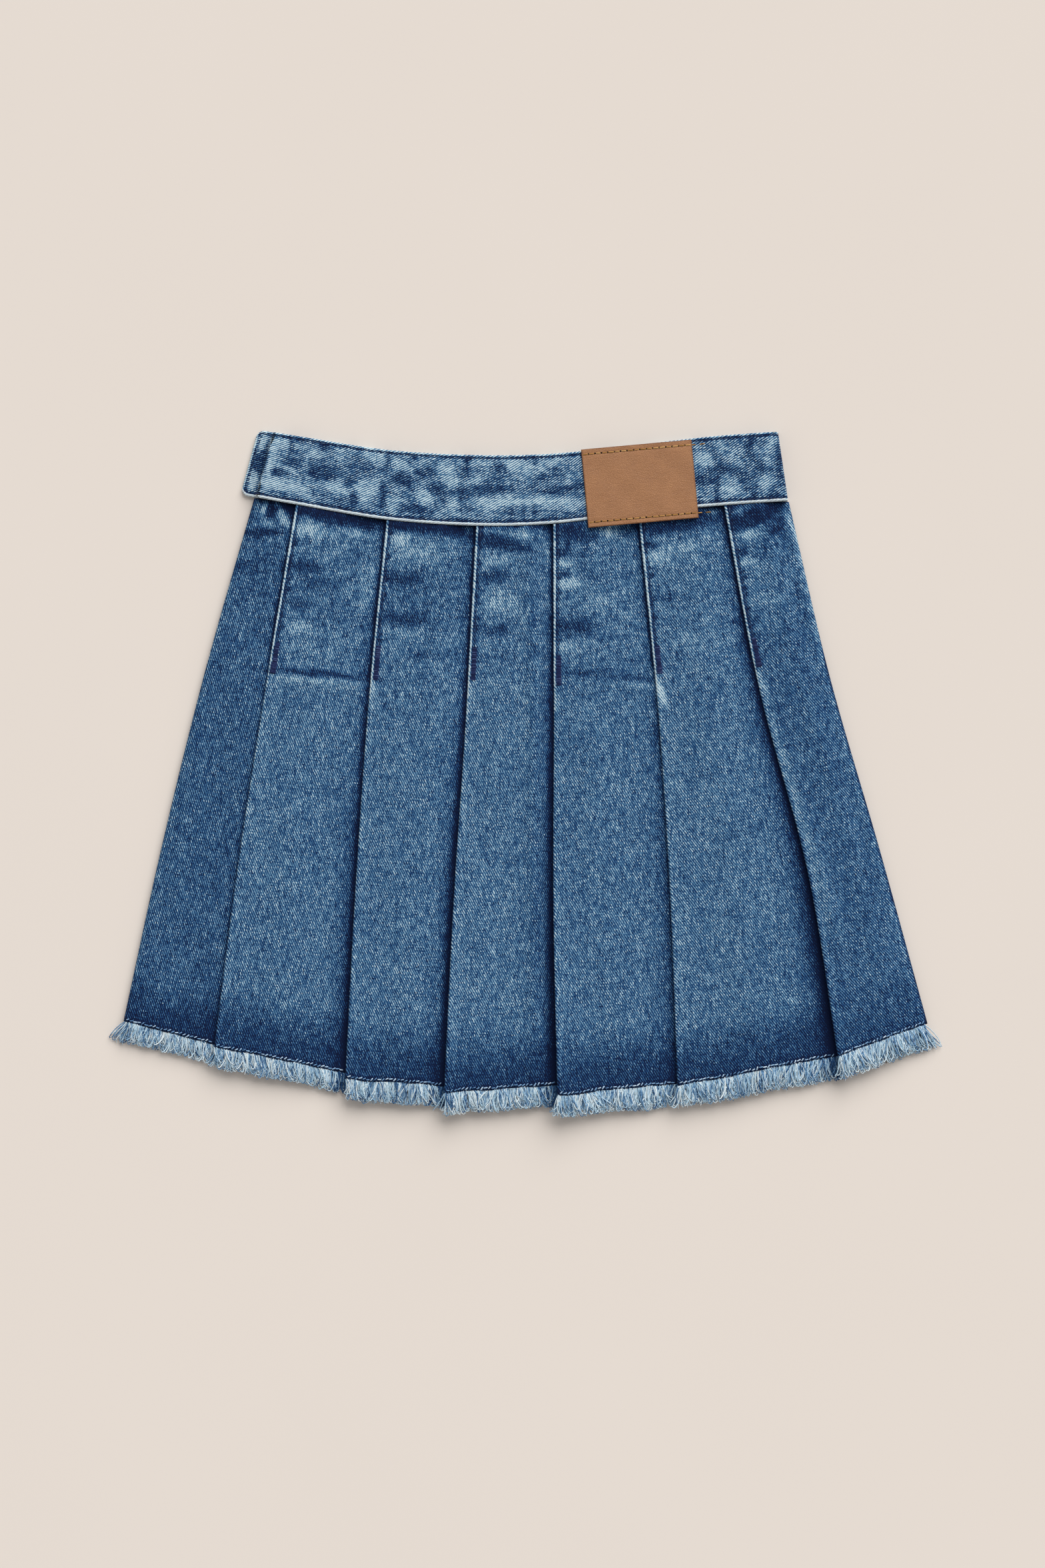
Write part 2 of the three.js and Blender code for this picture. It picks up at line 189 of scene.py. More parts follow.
# Materials
# Lengths are in millimetres, and tones are shares of the indigo's range, from unworn to worn through.
denimLook = {
    "across": 1.26,  # one repeat of the twill line across the warp, and along it
    "along": 2.18,
    "threads": 3,  # of each yarn in a repeat
    "line": 0.50,  # how far the twill lines stand out in the colour
    "bead": 0.26,  # how uneven the line's beads are, and each crossing of two yarns
    "pick": 0.28,
    "warp": 0.72,  # uneven yarns each way, and how fast they change along themselves
    "weft": 0.50,
    "warpChange": 0.16,
    "weftChange": 0.22,
    "fleck": 0.24,
    "blotch": 0.12,
    "relief": 0.12,
    "rough": 0.86,
}
clothSheen = {"Specular IOR Level": 0.16, "Sheen Weight": 0.02, "Sheen Roughness": 0.5}
indigo = (  # from unworn to worn through
    (0.0, (4, 20, 54)),
    (0.22, (11, 50, 97)),
    (0.50, (50, 95, 135)),
    (0.78, (115, 155, 182)),
    (1.0, (198, 217, 224)),
)


# The lines, their beads, the crossings and the uneven yarns both ways, each around 0
def twill(tree, place, look):
    split = put(tree, "ShaderNodeSeparateXYZ", {0: place})
    across, along = split.outputs[0], split.outputs[1]
    slope = calc(tree, "DIVIDE", along, look["along"])
    phase = calc(tree, "ADD", calc(tree, "DIVIDE", across, look["across"]), slope)
    wander = noise(tree, place, 0.22, 2.0)
    line = times(tree, calc(tree, "SINE", times(tree, total(tree, phase, (0.5, wander)), 2 * math.pi)), 0.5)
    warp = calc(tree, "FLOOR", calc(tree, "DIVIDE", across, look["across"] / look["threads"]))
    weft = calc(tree, "FLOOR", calc(tree, "DIVIDE", along, look["along"] / look["threads"]))
    step = calc(tree, "FLOOR", total(tree, slope, (1 / look["threads"], warp)))
    bead = scattered(tree, warp, step)
    pick = scattered(tree, warp, weft, 5.0)
    apart = 3.7  # keeps the noise of one yarn away from its neighbour's
    warpPlace = vectorOf(tree, times(tree, warp, apart), times(tree, along, look["warpChange"]))
    weftPlace = vectorOf(tree, times(tree, across, look["weftChange"]), times(tree, weft, apart), 9.0)
    yarns = [noise(tree, spot, 1.0, 1.0) for spot in (warpPlace, weftPlace)]
    return line, bead, pick, yarns


def clothTone(tree, place, look, wash):
    line, bead, pick, (warp, weft) = twill(tree, place, look)
    beaded = times(tree, line, total(tree, 1.0, (0.9, bead)))
    fleck = noise(tree, place, 0.5, 3.0, 0.65)
    blotch = noise(tree, place, 0.045, 3.0, 0.55)
    names = ("line", "bead", "pick", "warp", "weft", "fleck", "blotch")
    parts = (beaded, bead, pick, warp, weft, fleck, blotch)
    tone = total(tree, wash, *((look[name], part) for name, part in zip(names, parts)))
    return tone, total(tree, line, (0.5, bead))


bodyLook = {
    "tone": 0.49,
    "washField": 0.36,  # the marks' field at which the darkest and the palest tones are reached
    "washDark": -0.42,
    "washPale": 0.40,
    "ragged": 0.28,  # noise in the marks near the waist
    "fine": 0.26,
    "workedEnd": 130.0,  # below the waist seam the ragged wear fades out by here
    "workedStart": 40.0,
    # painted shade under the waistband's rim, partly unfaded dye
    "underBand": -0.26,
    "underBandReach": 5.5,
    "hem": -0.30,
    "hemReach": 36.0,
    "hemFull": 4.0,
    "sewnLine": -0.20,
    "tackStart": 74.0,  # the bar tacks, from the waist seam
    "tackEnd": 84.0,
    "tongue": -0.34,  # unworn tongues that run in from the edge stitching
    "tongueReach": 16.0,
    # painted shade at the foot of each pleat, above the tacks
    "foot": -0.42,
    "worn": 0.04,  # fuzzy wear right of each open edge, and its noise
    "wornNoise": 0.5,
    "cordWidth": 1.3,  # worn cord on the edge, at the waist and below the tacks
    "cordWidthLow": 0.85,
    "cord": 0.46,
    "cordLow": 0.14,
    "cordNoise": 1.1,
    "wrongSide": 0.62,
}


def bodyDenim():
    look = bodyLook
    material, tree = startMaterial("bodyDenim")
    place = onCloth(tree)
    fromEdge, toNext, down, up = (read(tree, name) for name in ("fromEdge", "toNext", "down", "up"))
    ragged = noise(tree, place, 0.16, 3.0, 0.6)
    fine = noise(tree, place, 0.55, 3.0, 0.65, stretch=(1.0, 0.6, 1))
    # Marks of the wash with painted shade under the waistband's rim, ragged and clearest near the waist
    worked = fade(tree, down, look["workedEnd"], look["workedStart"])
    jagged = times(tree, worked, ragged)
    grainy = times(tree, worked, fine)
    field = total(tree, read(tree, "wash"), (look["ragged"], jagged), (look["fine"], grainy))
    wash = fade(tree, field, -look["washField"], look["washField"], look["washDark"], look["washPale"])
    tone = total(tree, look["tone"], (1.0, wash), (1.0, read(tree, "shade")))
    # Darker just under the waistband: painted shade of its rim, partly unfaded dye
    under = fade(tree, total(tree, down, (9.0, ragged)), look["underBandReach"], 1.0)
    tone = total(tree, tone, (look["underBand"], under))
    # Darker towards the hem
    low = total(tree, up, (12.0, ragged), (6.0, fine))
    tone = total(tree, tone, (look["hem"], fade(tree, low, look["hemReach"], look["hemFull"])))
    tone, height = clothTone(tree, place, denimLook, tone)
    tacked = fade(tree, down, look["tackEnd"], look["tackStart"])
    # Edge stitching, with unworn tongues that run in from it
    runs = calc(tree, "MAXIMUM", noise(tree, place, 0.24, 2.0, 0.6, (0.2, 1, 1)), 0.0)
    reach = total(tree, 1.3, (look["tongueReach"], runs))
    tongue = fade(tree, calc(tree, "SUBTRACT", fromEdge, reach), 2.0, 0.2)
    tone = total(tree, tone, (look["tongue"], times(tree, tongue, tacked, fade(tree, fromEdge, 0.8, 1.3))))
    # Painted shade at the foot of the next pleat, above the tacks
    foot = fade(tree, total(tree, toNext, (2.0, fine)), 1.9, 0.7)
    tone = total(tree, tone, (look["foot"], times(tree, foot, tacked)))
    # Fuzzy wear right of each edge below the tacks
    opened = fade(tree, down, 76.0, 96.0)
    worn = times(tree, fade(tree, fromEdge, 0.2, 1.5), fade(tree, fromEdge, 6.5, 2.6), opened)
    tone = total(tree, tone, (look["worn"], worn), (look["wornNoise"], times(tree, worn, fine)))
    # The worn cord of cloth on the edge itself, thinner and fainter below the tacks
    width = fade(tree, down, 8.0, look["tackEnd"], look["cordWidth"], look["cordWidthLow"])
    off = calc(tree, "SUBTRACT", fromEdge, width)
    cord = times(tree, fade(tree, fromEdge, -0.1, 0.15), fade(tree, off, 0.12, -0.25))
    strength = total(tree, 0.0, (look["cord"], fade(tree, down, 98.0, 80.0)),
                     (look["cordLow"], fade(tree, down, 200.0, 100.0)), (look["cordNoise"], fine))
    tone = total(tree, tone, (1.0, times(tree, cord, calc(tree, "MAXIMUM", strength, 0.0))))
    # Sewn line just above the fringe
    tone = total(tree, tone, (look["sewnLine"], fade(tree, total(tree, up, (2.0, fine)), 3.6, 2.2)))
    # The wrong side is mostly undyed weft
    colour = ramp(tree, tone, *indigo)
    plain = mixed(tree, look["wrongSide"], colour, srgb(176, 192, 204))
    colour = mixed(tree, read(tree, "wrongSide"), colour, plain)
    rough = total(tree, denimLook["rough"], (0.25, fine))
    finishMaterial(tree, colour, rough, height, denimLook["relief"], **clothSheen)
    return material


bandLook = dict(  # the same cloth with its own marks; "stitched" and the rims are the edges' tones
    denimLook, line=0.72, bead=0.36, pick=0.16, fleck=0.40, blotch=0.0,
    tone=0.505, washField=0.33, washDark=-0.37, washPale=0.35, patchy=0.7, fine=0.45,
    stitched=-0.42, rim=0.46, rimTop=0.6, rimEnd=0.95, wornThrough=0.6,
)
# Unworn grooves beside the band's edge stitching: where each starts and ends, from its edge
bandGrooves = {"fromLow": (1.5, 3.6), "fromTop": (1.0, 2.9), "fromEnd": (1.0, 2.8)}


def bandDenim():
    look = bandLook
    material, tree = startMaterial("bandDenim")
    place = onCloth(tree)
    edges = {name: read(tree, name) for name in bandGrooves}
    fine = noise(tree, place, 0.55, 3.0, 0.65)
    warp = put(tree, "ShaderNodeTexNoise", {"Vector": place, "Scale": 0.07, "Detail": 3.0}).outputs["Color"]
    bent = put(tree, "ShaderNodeVectorMath", {0: warp, 1: (22, 22, 0), 2: place}, operation="MULTIPLY_ADD")
    patchy = noise(tree, bent.outputs[0], 0.085, 2.5, 0.55, stretch=(1.25, 0.9, 1))
    # Marks of the wash, with painted shadow on the tab beside the band's turned end
    field = total(tree, read(tree, "wash"), (look["patchy"], patchy), (look["fine"], fine))
    wash = fade(tree, field, -look["washField"], look["washField"], look["washDark"], look["washPale"])
    tone = total(tree, look["tone"], (1.0, wash))
    for name, (near, far) in bandGrooves.items():
        outward = fade(tree, total(tree, edges[name], (3, fine)), far, near + 0.6)
        groove = times(tree, fade(tree, edges[name], near - 0.35, near + 0.2), outward)
        tone = total(tree, tone, (look["stitched"], groove))
    tone, height = clothTone(tree, place, look, tone)
    # The turned edges are worn through
    rimLow = fade(tree, total(tree, edges["fromLow"], (1.2, fine)), 1.65, 1.15)
    rimTop = fade(tree, total(tree, edges["fromTop"], (0.6, fine)), 1.05, 0.6)
    rimEnd = fade(tree, total(tree, edges["fromEnd"], (0.6, fine)), 1.2, 0.7)
    rim = calc(tree, "MAXIMUM", times(tree, rimTop, look["rimTop"]), times(tree, rimEnd, look["rimEnd"]))
    tone = total(tree, tone, (look["rim"], calc(tree, "MAXIMUM", rim, rimLow)))
    colour = ramp(tree, tone, *indigo)
    colour = mixed(tree, times(tree, rimLow, look["wornThrough"]), colour, srgb(226, 232, 232))
    rough = total(tree, look["rough"], (0.25, fine))
    finishMaterial(tree, colour, rough, height, look["relief"], **clothSheen)
    return material


leatherLook = {
    "tone": 0.44,
    "cloud": 0.25,
    "streak": 0.18,
    "fine": 0.35,
    "pebble": 0.05,
    "edge": -0.26,
    "rough": 0.56,
    "relief": 0.12,
}
leatherStops = ((0.0, (92, 55, 32)), (0.3, (140, 95, 62)), (0.55, (167, 118, 80)), (1.0, (196, 150, 110)))


def patchLeather():
    look = leatherLook
    material, tree = startMaterial("patchLeather")
    place = onCloth(tree)
    fromRim = read(tree, "fromRim")
    cells = put(tree, "ShaderNodeTexVoronoi", {"Vector": place, "Scale": 1.1}, feature="DISTANCE_TO_EDGE")
    pebble = fade(tree, cells.outputs[0], 0.0, 0.18)
    fine = noise(tree, place, 1.4, 4.0, 0.6)
    cloudy = noise(tree, place, 0.09, 3.0, 0.55)
    streaky = noise(tree, place, 0.5, 3.0, 0.6, stretch=(0.35, 1.6, 1))
    tone = total(tree, look["tone"], (look["cloud"], cloudy), (look["streak"], streaky), (look["fine"], fine),
                 (look["pebble"], pebble))
    tone = total(tree, tone, (look["edge"], fade(tree, total(tree, fromRim, (1.5, fine)), 1.0, 0.1)))
    height = total(tree, 0.0, (0.6, pebble), (1.2, fine), (1.0, streaky))
    rough = total(tree, look["rough"], (0.5, fine), (0.3, cloudy))
    colour = ramp(tree, tone, *leatherStops)
    finishMaterial(tree, colour, rough, height, look["relief"], **{"Specular IOR Level": 0.38})
    return material


def yarnMaterial(name, stops, rough=0.9, fuzz=0.6):  # each yarn takes its own shade
    material, tree = startMaterial(name)
    place = put(tree, "ShaderNodeTexCoord").outputs["Object"]
    fibre = noise(tree, place, 900.0, 2.0, 0.6)
    slub = noise(tree, place, 190.0, 2.0, 0.5)
    tone = total(tree, read(tree, "shade"), (fuzz, fibre), (0.5, slub))
    finishMaterial(tree, ramp(tree, tone, *stops), rough, fibre, 0.08, **{"Specular IOR Level": 0.2})
    return material


def floorMaterial():
    material, tree = startMaterial("paleBoard")
    place = put(tree, "ShaderNodeTexCoord").outputs["Object"]
    tone = total(tree, 0.5, (0.5, noise(tree, place, 6.0, 3.0, 0.5)))
    colour = ramp(tree, tone, (0.0, (226, 216, 207)), (1.0, (231, 221, 212)))
    finishMaterial(tree, colour, 0.75, **{"Specular IOR Level": 0.25})
    return material


print("materials")
bodyMaterial = bodyDenim()
bandMaterial = bandDenim()
leatherMaterial = patchLeather()
threadColours = {  # stops from a dark to a pale yarn
    "frayedYarn": (
        (0.0, (36, 76, 124)), (0.22, (106, 150, 190)), (0.55, (180, 211, 229)), (1.0, (234, 244, 248)),
    ),
    "navyThread": ((0.0, (14, 22, 48)), (0.6, (38, 54, 88)), (1.0, (96, 118, 148))),
    "tackThread": ((0.0, (12, 18, 48)), (0.7, (32, 44, 88)), (1.0, (88, 106, 146))),
    "paleThread": ((0.0, (40, 76, 122)), (0.5, (112, 150, 188)), (1.0, (200, 218, 232))),
    "tanThread": ((0.0, (112, 76, 36)), (0.5, (168, 124, 68)), (1.0, (206, 168, 112))),
}
threads = {name: yarnMaterial(name, stops) for name, stops in threadColours.items()}
# The needle holes' dark brown is painted shade
holeMaterial = yarnMaterial("needleHole", ((0.0, (28, 16, 12)), (1.0, (58, 34, 24))), 0.9, 0.2)


# Meshes
# A closed wall from two matching grids of points. The outer face looks out where rows run down and columns
# run right. uvStart and uvEnd are the cloth's plan at each column for the quads that start and end there.
# Attributes are grids, or pairs of grids for the outer and the inner face.
def wall(name, outer, inner, material, uvStart, uvEnd=None, **attributes):
    uvEnd = uvStart if uvEnd is None else uvEnd
    rows, columns = outer.shape[:2]
    count = rows * columns
    top = np.arange(count).reshape(rows, columns)
    low = top + count

    def quads(*corners):
        return np.stack([np.asarray(c).ravel() for c in corners], axis=1)

    sets = [
        (quads(top[:-1, :-1], top[1:, :-1], top[1:, 1:], top[:-1, 1:]), (0, 0, 1, 1)),
        (quads(low[:-1, :-1], low[:-1, 1:], low[1:, 1:], low[1:, :-1]), (0, 1, 1, 0)),
        (quads(top[:-1, 0], low[:-1, 0], low[1:, 0], top[1:, 0]), (0, 0, 0, 0)),
        (quads(top[:-1, -1], top[1:, -1], low[1:, -1], low[:-1, -1]), (1, 1, 1, 1)),
        (quads(top[0, :-1], top[0, 1:], low[0, 1:], low[0, :-1]), (0, 1, 1, 0)),
        (quads(top[-1, :-1], low[-1, :-1], low[-1, 1:], top[-1, 1:]), (0, 0, 1, 1)),
    ]
    depth = np.linalg.norm(outer - inner, axis=2)[..., None]
    shifts = [np.zeros((rows, columns, 2)) for _ in sets]  # the plan goes on across the thickness of each rim
    rims = ((np.s_[:, 0], np.s_[:, 1]), (np.s_[:, -1], np.s_[:, -2]), (0, 1), (-1, -2))
    for shift, (edge, beside) in zip(shifts[2:], rims):
        step = uvStart[edge] - uvStart[beside]
        shift[edge] = step / (np.linalg.norm(step, axis=1, keepdims=True) + 1e-9) * depth[edge]
    corners = np.concatenate([quad for quad, _ in sets])
    shifted = np.concatenate([shift.reshape(-1, 2)[quad % count] * (quad >= count)[..., None]
                              for shift, (quad, _) in zip(shifts, sets)])
    ends = np.concatenate([np.tile(end, (len(quad), 1)) for quad, end in sets]).astype(bool)
    rim = np.concatenate([np.full(len(quad), i > 1) for i, (quad, _) in enumerate(sets)])
    points = np.concatenate([outer.reshape(-1, 3), inner.reshape(-1, 3)]) * mm
    mesh = bpy.data.meshes.new(name)
    mesh.from_pydata(points.tolist(), [], corners.tolist())
    mesh.polygons.foreach_set("use_smooth", ~rim)
    flat = corners % count
    plan = np.where(ends[..., None], uvEnd.reshape(-1, 2)[flat], uvStart.reshape(-1, 2)[flat])
    plan = (plan + shifted) * mm
    mesh.uv_layers.new(name="cloth").data.foreach_set("uv", plan.reshape(-1).astype(np.float32))
    for label, value in attributes.items():
        pair = value if isinstance(value, tuple) else (value, value)
        values = np.concatenate([np.broadcast_to(v, (rows, columns)).ravel() for v in pair])
        mesh.attributes.new(label, "FLOAT", "POINT").data.foreach_set("value", values.astype(np.float32))
    mesh.materials.append(material)
    mesh.validate()
    return addPiece(name, mesh)


def addPiece(name, mesh):
    piece = bpy.data.objects.new(name, mesh)
    scene.collection.objects.link(piece)
    return piece


def movedOut(x, z, distance):  # along the section's own normal; the ends stand upright
    alongX = np.gradient(x, axis=1)
    alongZ = np.gradient(z, axis=1)
    alongX[:, [0, -1]] = 0.0
    size = np.hypot(alongX, alongZ) + 1e-9
    return x - alongZ / size * distance, z + alongX / size * distance


# The cloth of the two halves, folded as the solids are. Lines run from the waist seam to the hem: the left
# side, six pleat edges and the right side. hemBefore is the hem's height on the panel under the edge.
lineColumns = (
    "bandX", "bandY", "waistX", "waistY", "hipX", "thighX", "hemX", "hemY", "hemBefore", "lift", "dive",
)
lineTable = (
    (-132.3, 178.8, -141.6, 144.6, -167.6, -190.2, -210.2, -129.9, -129.9, 0.0, 1.0),
    (-112.5, 175.6, -120.0, 140.7, -135.8, -150.5, -162.8, -143.0, -142.4, 0.9, 1.0),
    (-72.0, 169.4, -72.5, 132.8, -82.2, -89.0, -94.2, -160.0, -157.2, 2.0, 1.0),
    (-26.5, 166.7, -25.6, 129.6, -31.0, -37.6, -42.5, -167.0, -163.8, 3.4, 0.6),
    (14.0, 167.4, 14.8, 130.7, 15.0, 14.7, 16.8, -168.4, -163.6, 4.4, 0.4),
    (57.0, 171.9, 59.2, 136.2, 69.3, 75.8, 79.6, -163.6, -162.8, 1.2, 1.0),
    (99.4, 176.6, 104.2, 140.3, 122.6, 147.9, 163.5, -147.9, -148.2, 3.6, 0.8),
    (132.6, 179.0, 137.8, 142.6, 159.2, 185.5, 210.6, -131.2, -131.2, 0.0, 1.0),
)
line = {label: np.array(column) for label, column in zip(lineColumns, zip(*lineTable))}
panelCount = len(lineTable) - 1
clothWall = {
    "thickness": 1.0,
    "gap": 0.3,
    "frontOuterZ": 0.5,
    "underlayAtWaist": 16.0,
    "underlayAtHem": 24.0,
    "clearOfFold": 1.4,
    "pastFold": 2.0,
    "liftStart": 0.28,
    "liftReach": 34.0,
    "sideBend": 4.5,
    "frontDive": 0.35,
    "stitchColumns": (1.5, 1.9, 2.4, 3.0, 3.8, 4.9),  # close together over the edge stitching
    "beforeFold": (1.6, 0.8, 0.0),
    "grainShift": (37.3, 11.7),  # sets each panel's weave apart from its neighbour's
    "cordRise": 0.26,  # the edge's sewn cord, the groove beside it and the hem's groove
    "grooveDepth": 0.30,
    "hemGroove": 0.15,
}
half = clothWall["thickness"] / 2
gap = clothWall["gap"]
pitch = clothWall["thickness"] + gap
frontInnerZ = clothWall["frontOuterZ"] + 2 * pitch
backInnerZ = frontInnerZ + pitch
sideSeamZ = (clothWall["frontOuterZ"] + backInnerZ) / 2
foldInset = pitch / 2 + half
sideBend = clothWall["sideBend"]
backHalf = {
    "way": 1, "order": range(panelCount + 1), "base": backInnerZ,
    "seamHeight": sideSeamZ + gap / 2 - backInnerZ,
    "sideHeight": 0.0, "hemRise": 0.0, "rows": 124, "steps": 30, "foldSteps": 6,
}
frontHalf = {
    "way": -1, "order": range(panelCount, -1, -1), "base": frontInnerZ,
    "seamHeight": frontInnerZ - (sideSeamZ - gap / 2),
    "sideHeight": 2 * pitch, "hemRise": 2.5, "rows": 60, "steps": 16, "foldSteps": 4,
}
seamParts = np.linspace(0, 1, 1401)
seamX = splineAt(line["waistX"], seamParts)
seamY = splineAt(line["waistY"], seamParts)
bandTopX = splineAt(line["bandX"], seamParts)
bandTopY = splineAt(line["bandY"], seamParts)


def lineX(i, v):  # carried on straight past both ends, so that it keeps its slope there
    a, b, c, d = (line[label][i] for label in ("waistX", "hipX", "thighX", "hemX"))
    return splineAt([2 * a - b, a, b, c, d, 2 * d - c], (1 + 3 * np.asarray(v, float)) / 5)


def underlayAt(v):
    return between(clothWall["underlayAtWaist"], clothWall["underlayAtHem"], v)


def panelAt(side, p, v):
    start, end = side["order"][p], side["order"][p + 1]
    startX, endX = lineX(start, v), lineX(end, v)
    width = np.abs(endX - startX)
    last = p == panelCount - 1
    diveEnd = width - (sideBend if last else clothWall["clearOfFold"])
    dive = line["dive"][end] if side["way"] > 0 else clothWall["frontDive"]
    diveStart = diveEnd - dive * (diveEnd - underlayAt(v) - clothWall["pastFold"])
    return {"start": start, "end": end, "startX": startX, "endX": endX, "width": width, "last": last,
            "diveStart": diveStart, "diveEnd": diveEnd}


def liftAt(side, i, w, v):
    if side["way"] < 0:
        return 0.0
    near = np.maximum(0.0, 1 - w / clothWall["liftReach"])
    return line["lift"][i] * smoothStep(clothWall["liftStart"], 1, v) * near * near


def panelHeight(side, p, w, v, panel):
    start = side["sideHeight"] if p == 0 else 2 * pitch
    end = side["sideHeight"] if panel["last"] else 0.0
    t = np.clip((w - panel["diveStart"]) / (panel["diveEnd"] - panel["diveStart"]), 0, 1)
    height = between(start + liftAt(side, panel["start"], w, v), end, t * t * (3 - 2 * t))
    if p > 0 and not panel["last"]:
        return height
    fromSide = w if p == 0 else panel["width"] - w
    share = np.sqrt(1 - (1 - np.clip(fromSide / sideBend, 0, 1)) ** 2)
    return between(side["seamHeight"], height, share)


def hemHeight(side, p, f):
    start, end = side["order"][p], side["order"][p + 1]
    forward = side["way"] > 0
    startY = line["hemY" if forward else "hemBefore"][start]
    endY = line["hemBefore" if forward else "hemY"][end]
    ripple = 0.7 * waves((p + f) * 60.0, (23.0, 37.0, 61.0), 31)
    return between(startY, endY, f) + (side["hemRise"] + ripple) * np.sin(math.pi * (p + f) / panelCount)


# Creases and soft ridges: both ends, width and height
creases = (
    (1.5, 118, 5, 40, 4.5, 0.9), (5, 40, 6.5, -60, 4.5, 1.3), (6.5, -60, 9.5, -158, 5.5, 1.5),
    (129, 25, 146, -30, 5, 1), (146, -30, 163, -84, 6.5, 1.2), (-130, 52, -82, 47, 4, 0.5),
    (-128, 58, -96, 54, 3, -0.4), (50, 47, 67, 45, 3, 0.6), (88, 60, 101, 54, 4, 0.5),
    (-150, 60, -146, -20, 8, 0.7), (-176, 10, -184, -70, 9, 0.8), (-120, -20, -128, -120, 10, 0.9),
    (-66, 20, -70, -60, 9, 0.7), (-60, -70, -66, -150, 8, 0.9), (-12, 60, -16, -20, 7, 0.8),
    (-22, -60, -24, -150, 7, 0.7), (36, 20, 38, -60, 9, 0.8), (44, -80, 50, -150, 9, 0.9),
    (92, 40, 104, -40, 9, 0.8), (110, -60, 118, -140, 10, 0.9), (150, 60, 166, 0, 8, 0.8),
    (186, -40, 194, -110, 8, 0.8),
)


def creaseHeight(x, y):
    height = np.zeros_like(x)
    for x0, y0, x1, y1, width, rise in creases:
        dx, dy = x1 - x0, y1 - y0
        length = math.hypot(dx, dy)
        along = ((x - x0) * dx + (y - y0) * dy) / length
        off = ((x - x0) * dy - (y - y0) * dx) / length
        ends = smoothStep(-0.25, 0.2, along / length) * smoothStep(1.25, 0.8, along / length)
        height += rise * ends * bump(off, 0, width)
    return height


def puckers(x, down, up):  # gathers where the waistband and the hem line are sewn on
    waist = waves(x, (7.5, 11.0, 17.0), 3) * np.exp(-np.maximum(down, 0) / 10.0)
    side = waves(x, (5.5, 8.0), 4) * np.exp(-np.maximum(down, 0) / 26.0) * smoothStep(-118, -128, x)
    hem = waves(x, (8.0, 13.0, 21.0), 5) * np.exp(-np.maximum(up, 0) / 9.0)
    return 0.45 * waist + 0.8 * side + 0.45 * hem


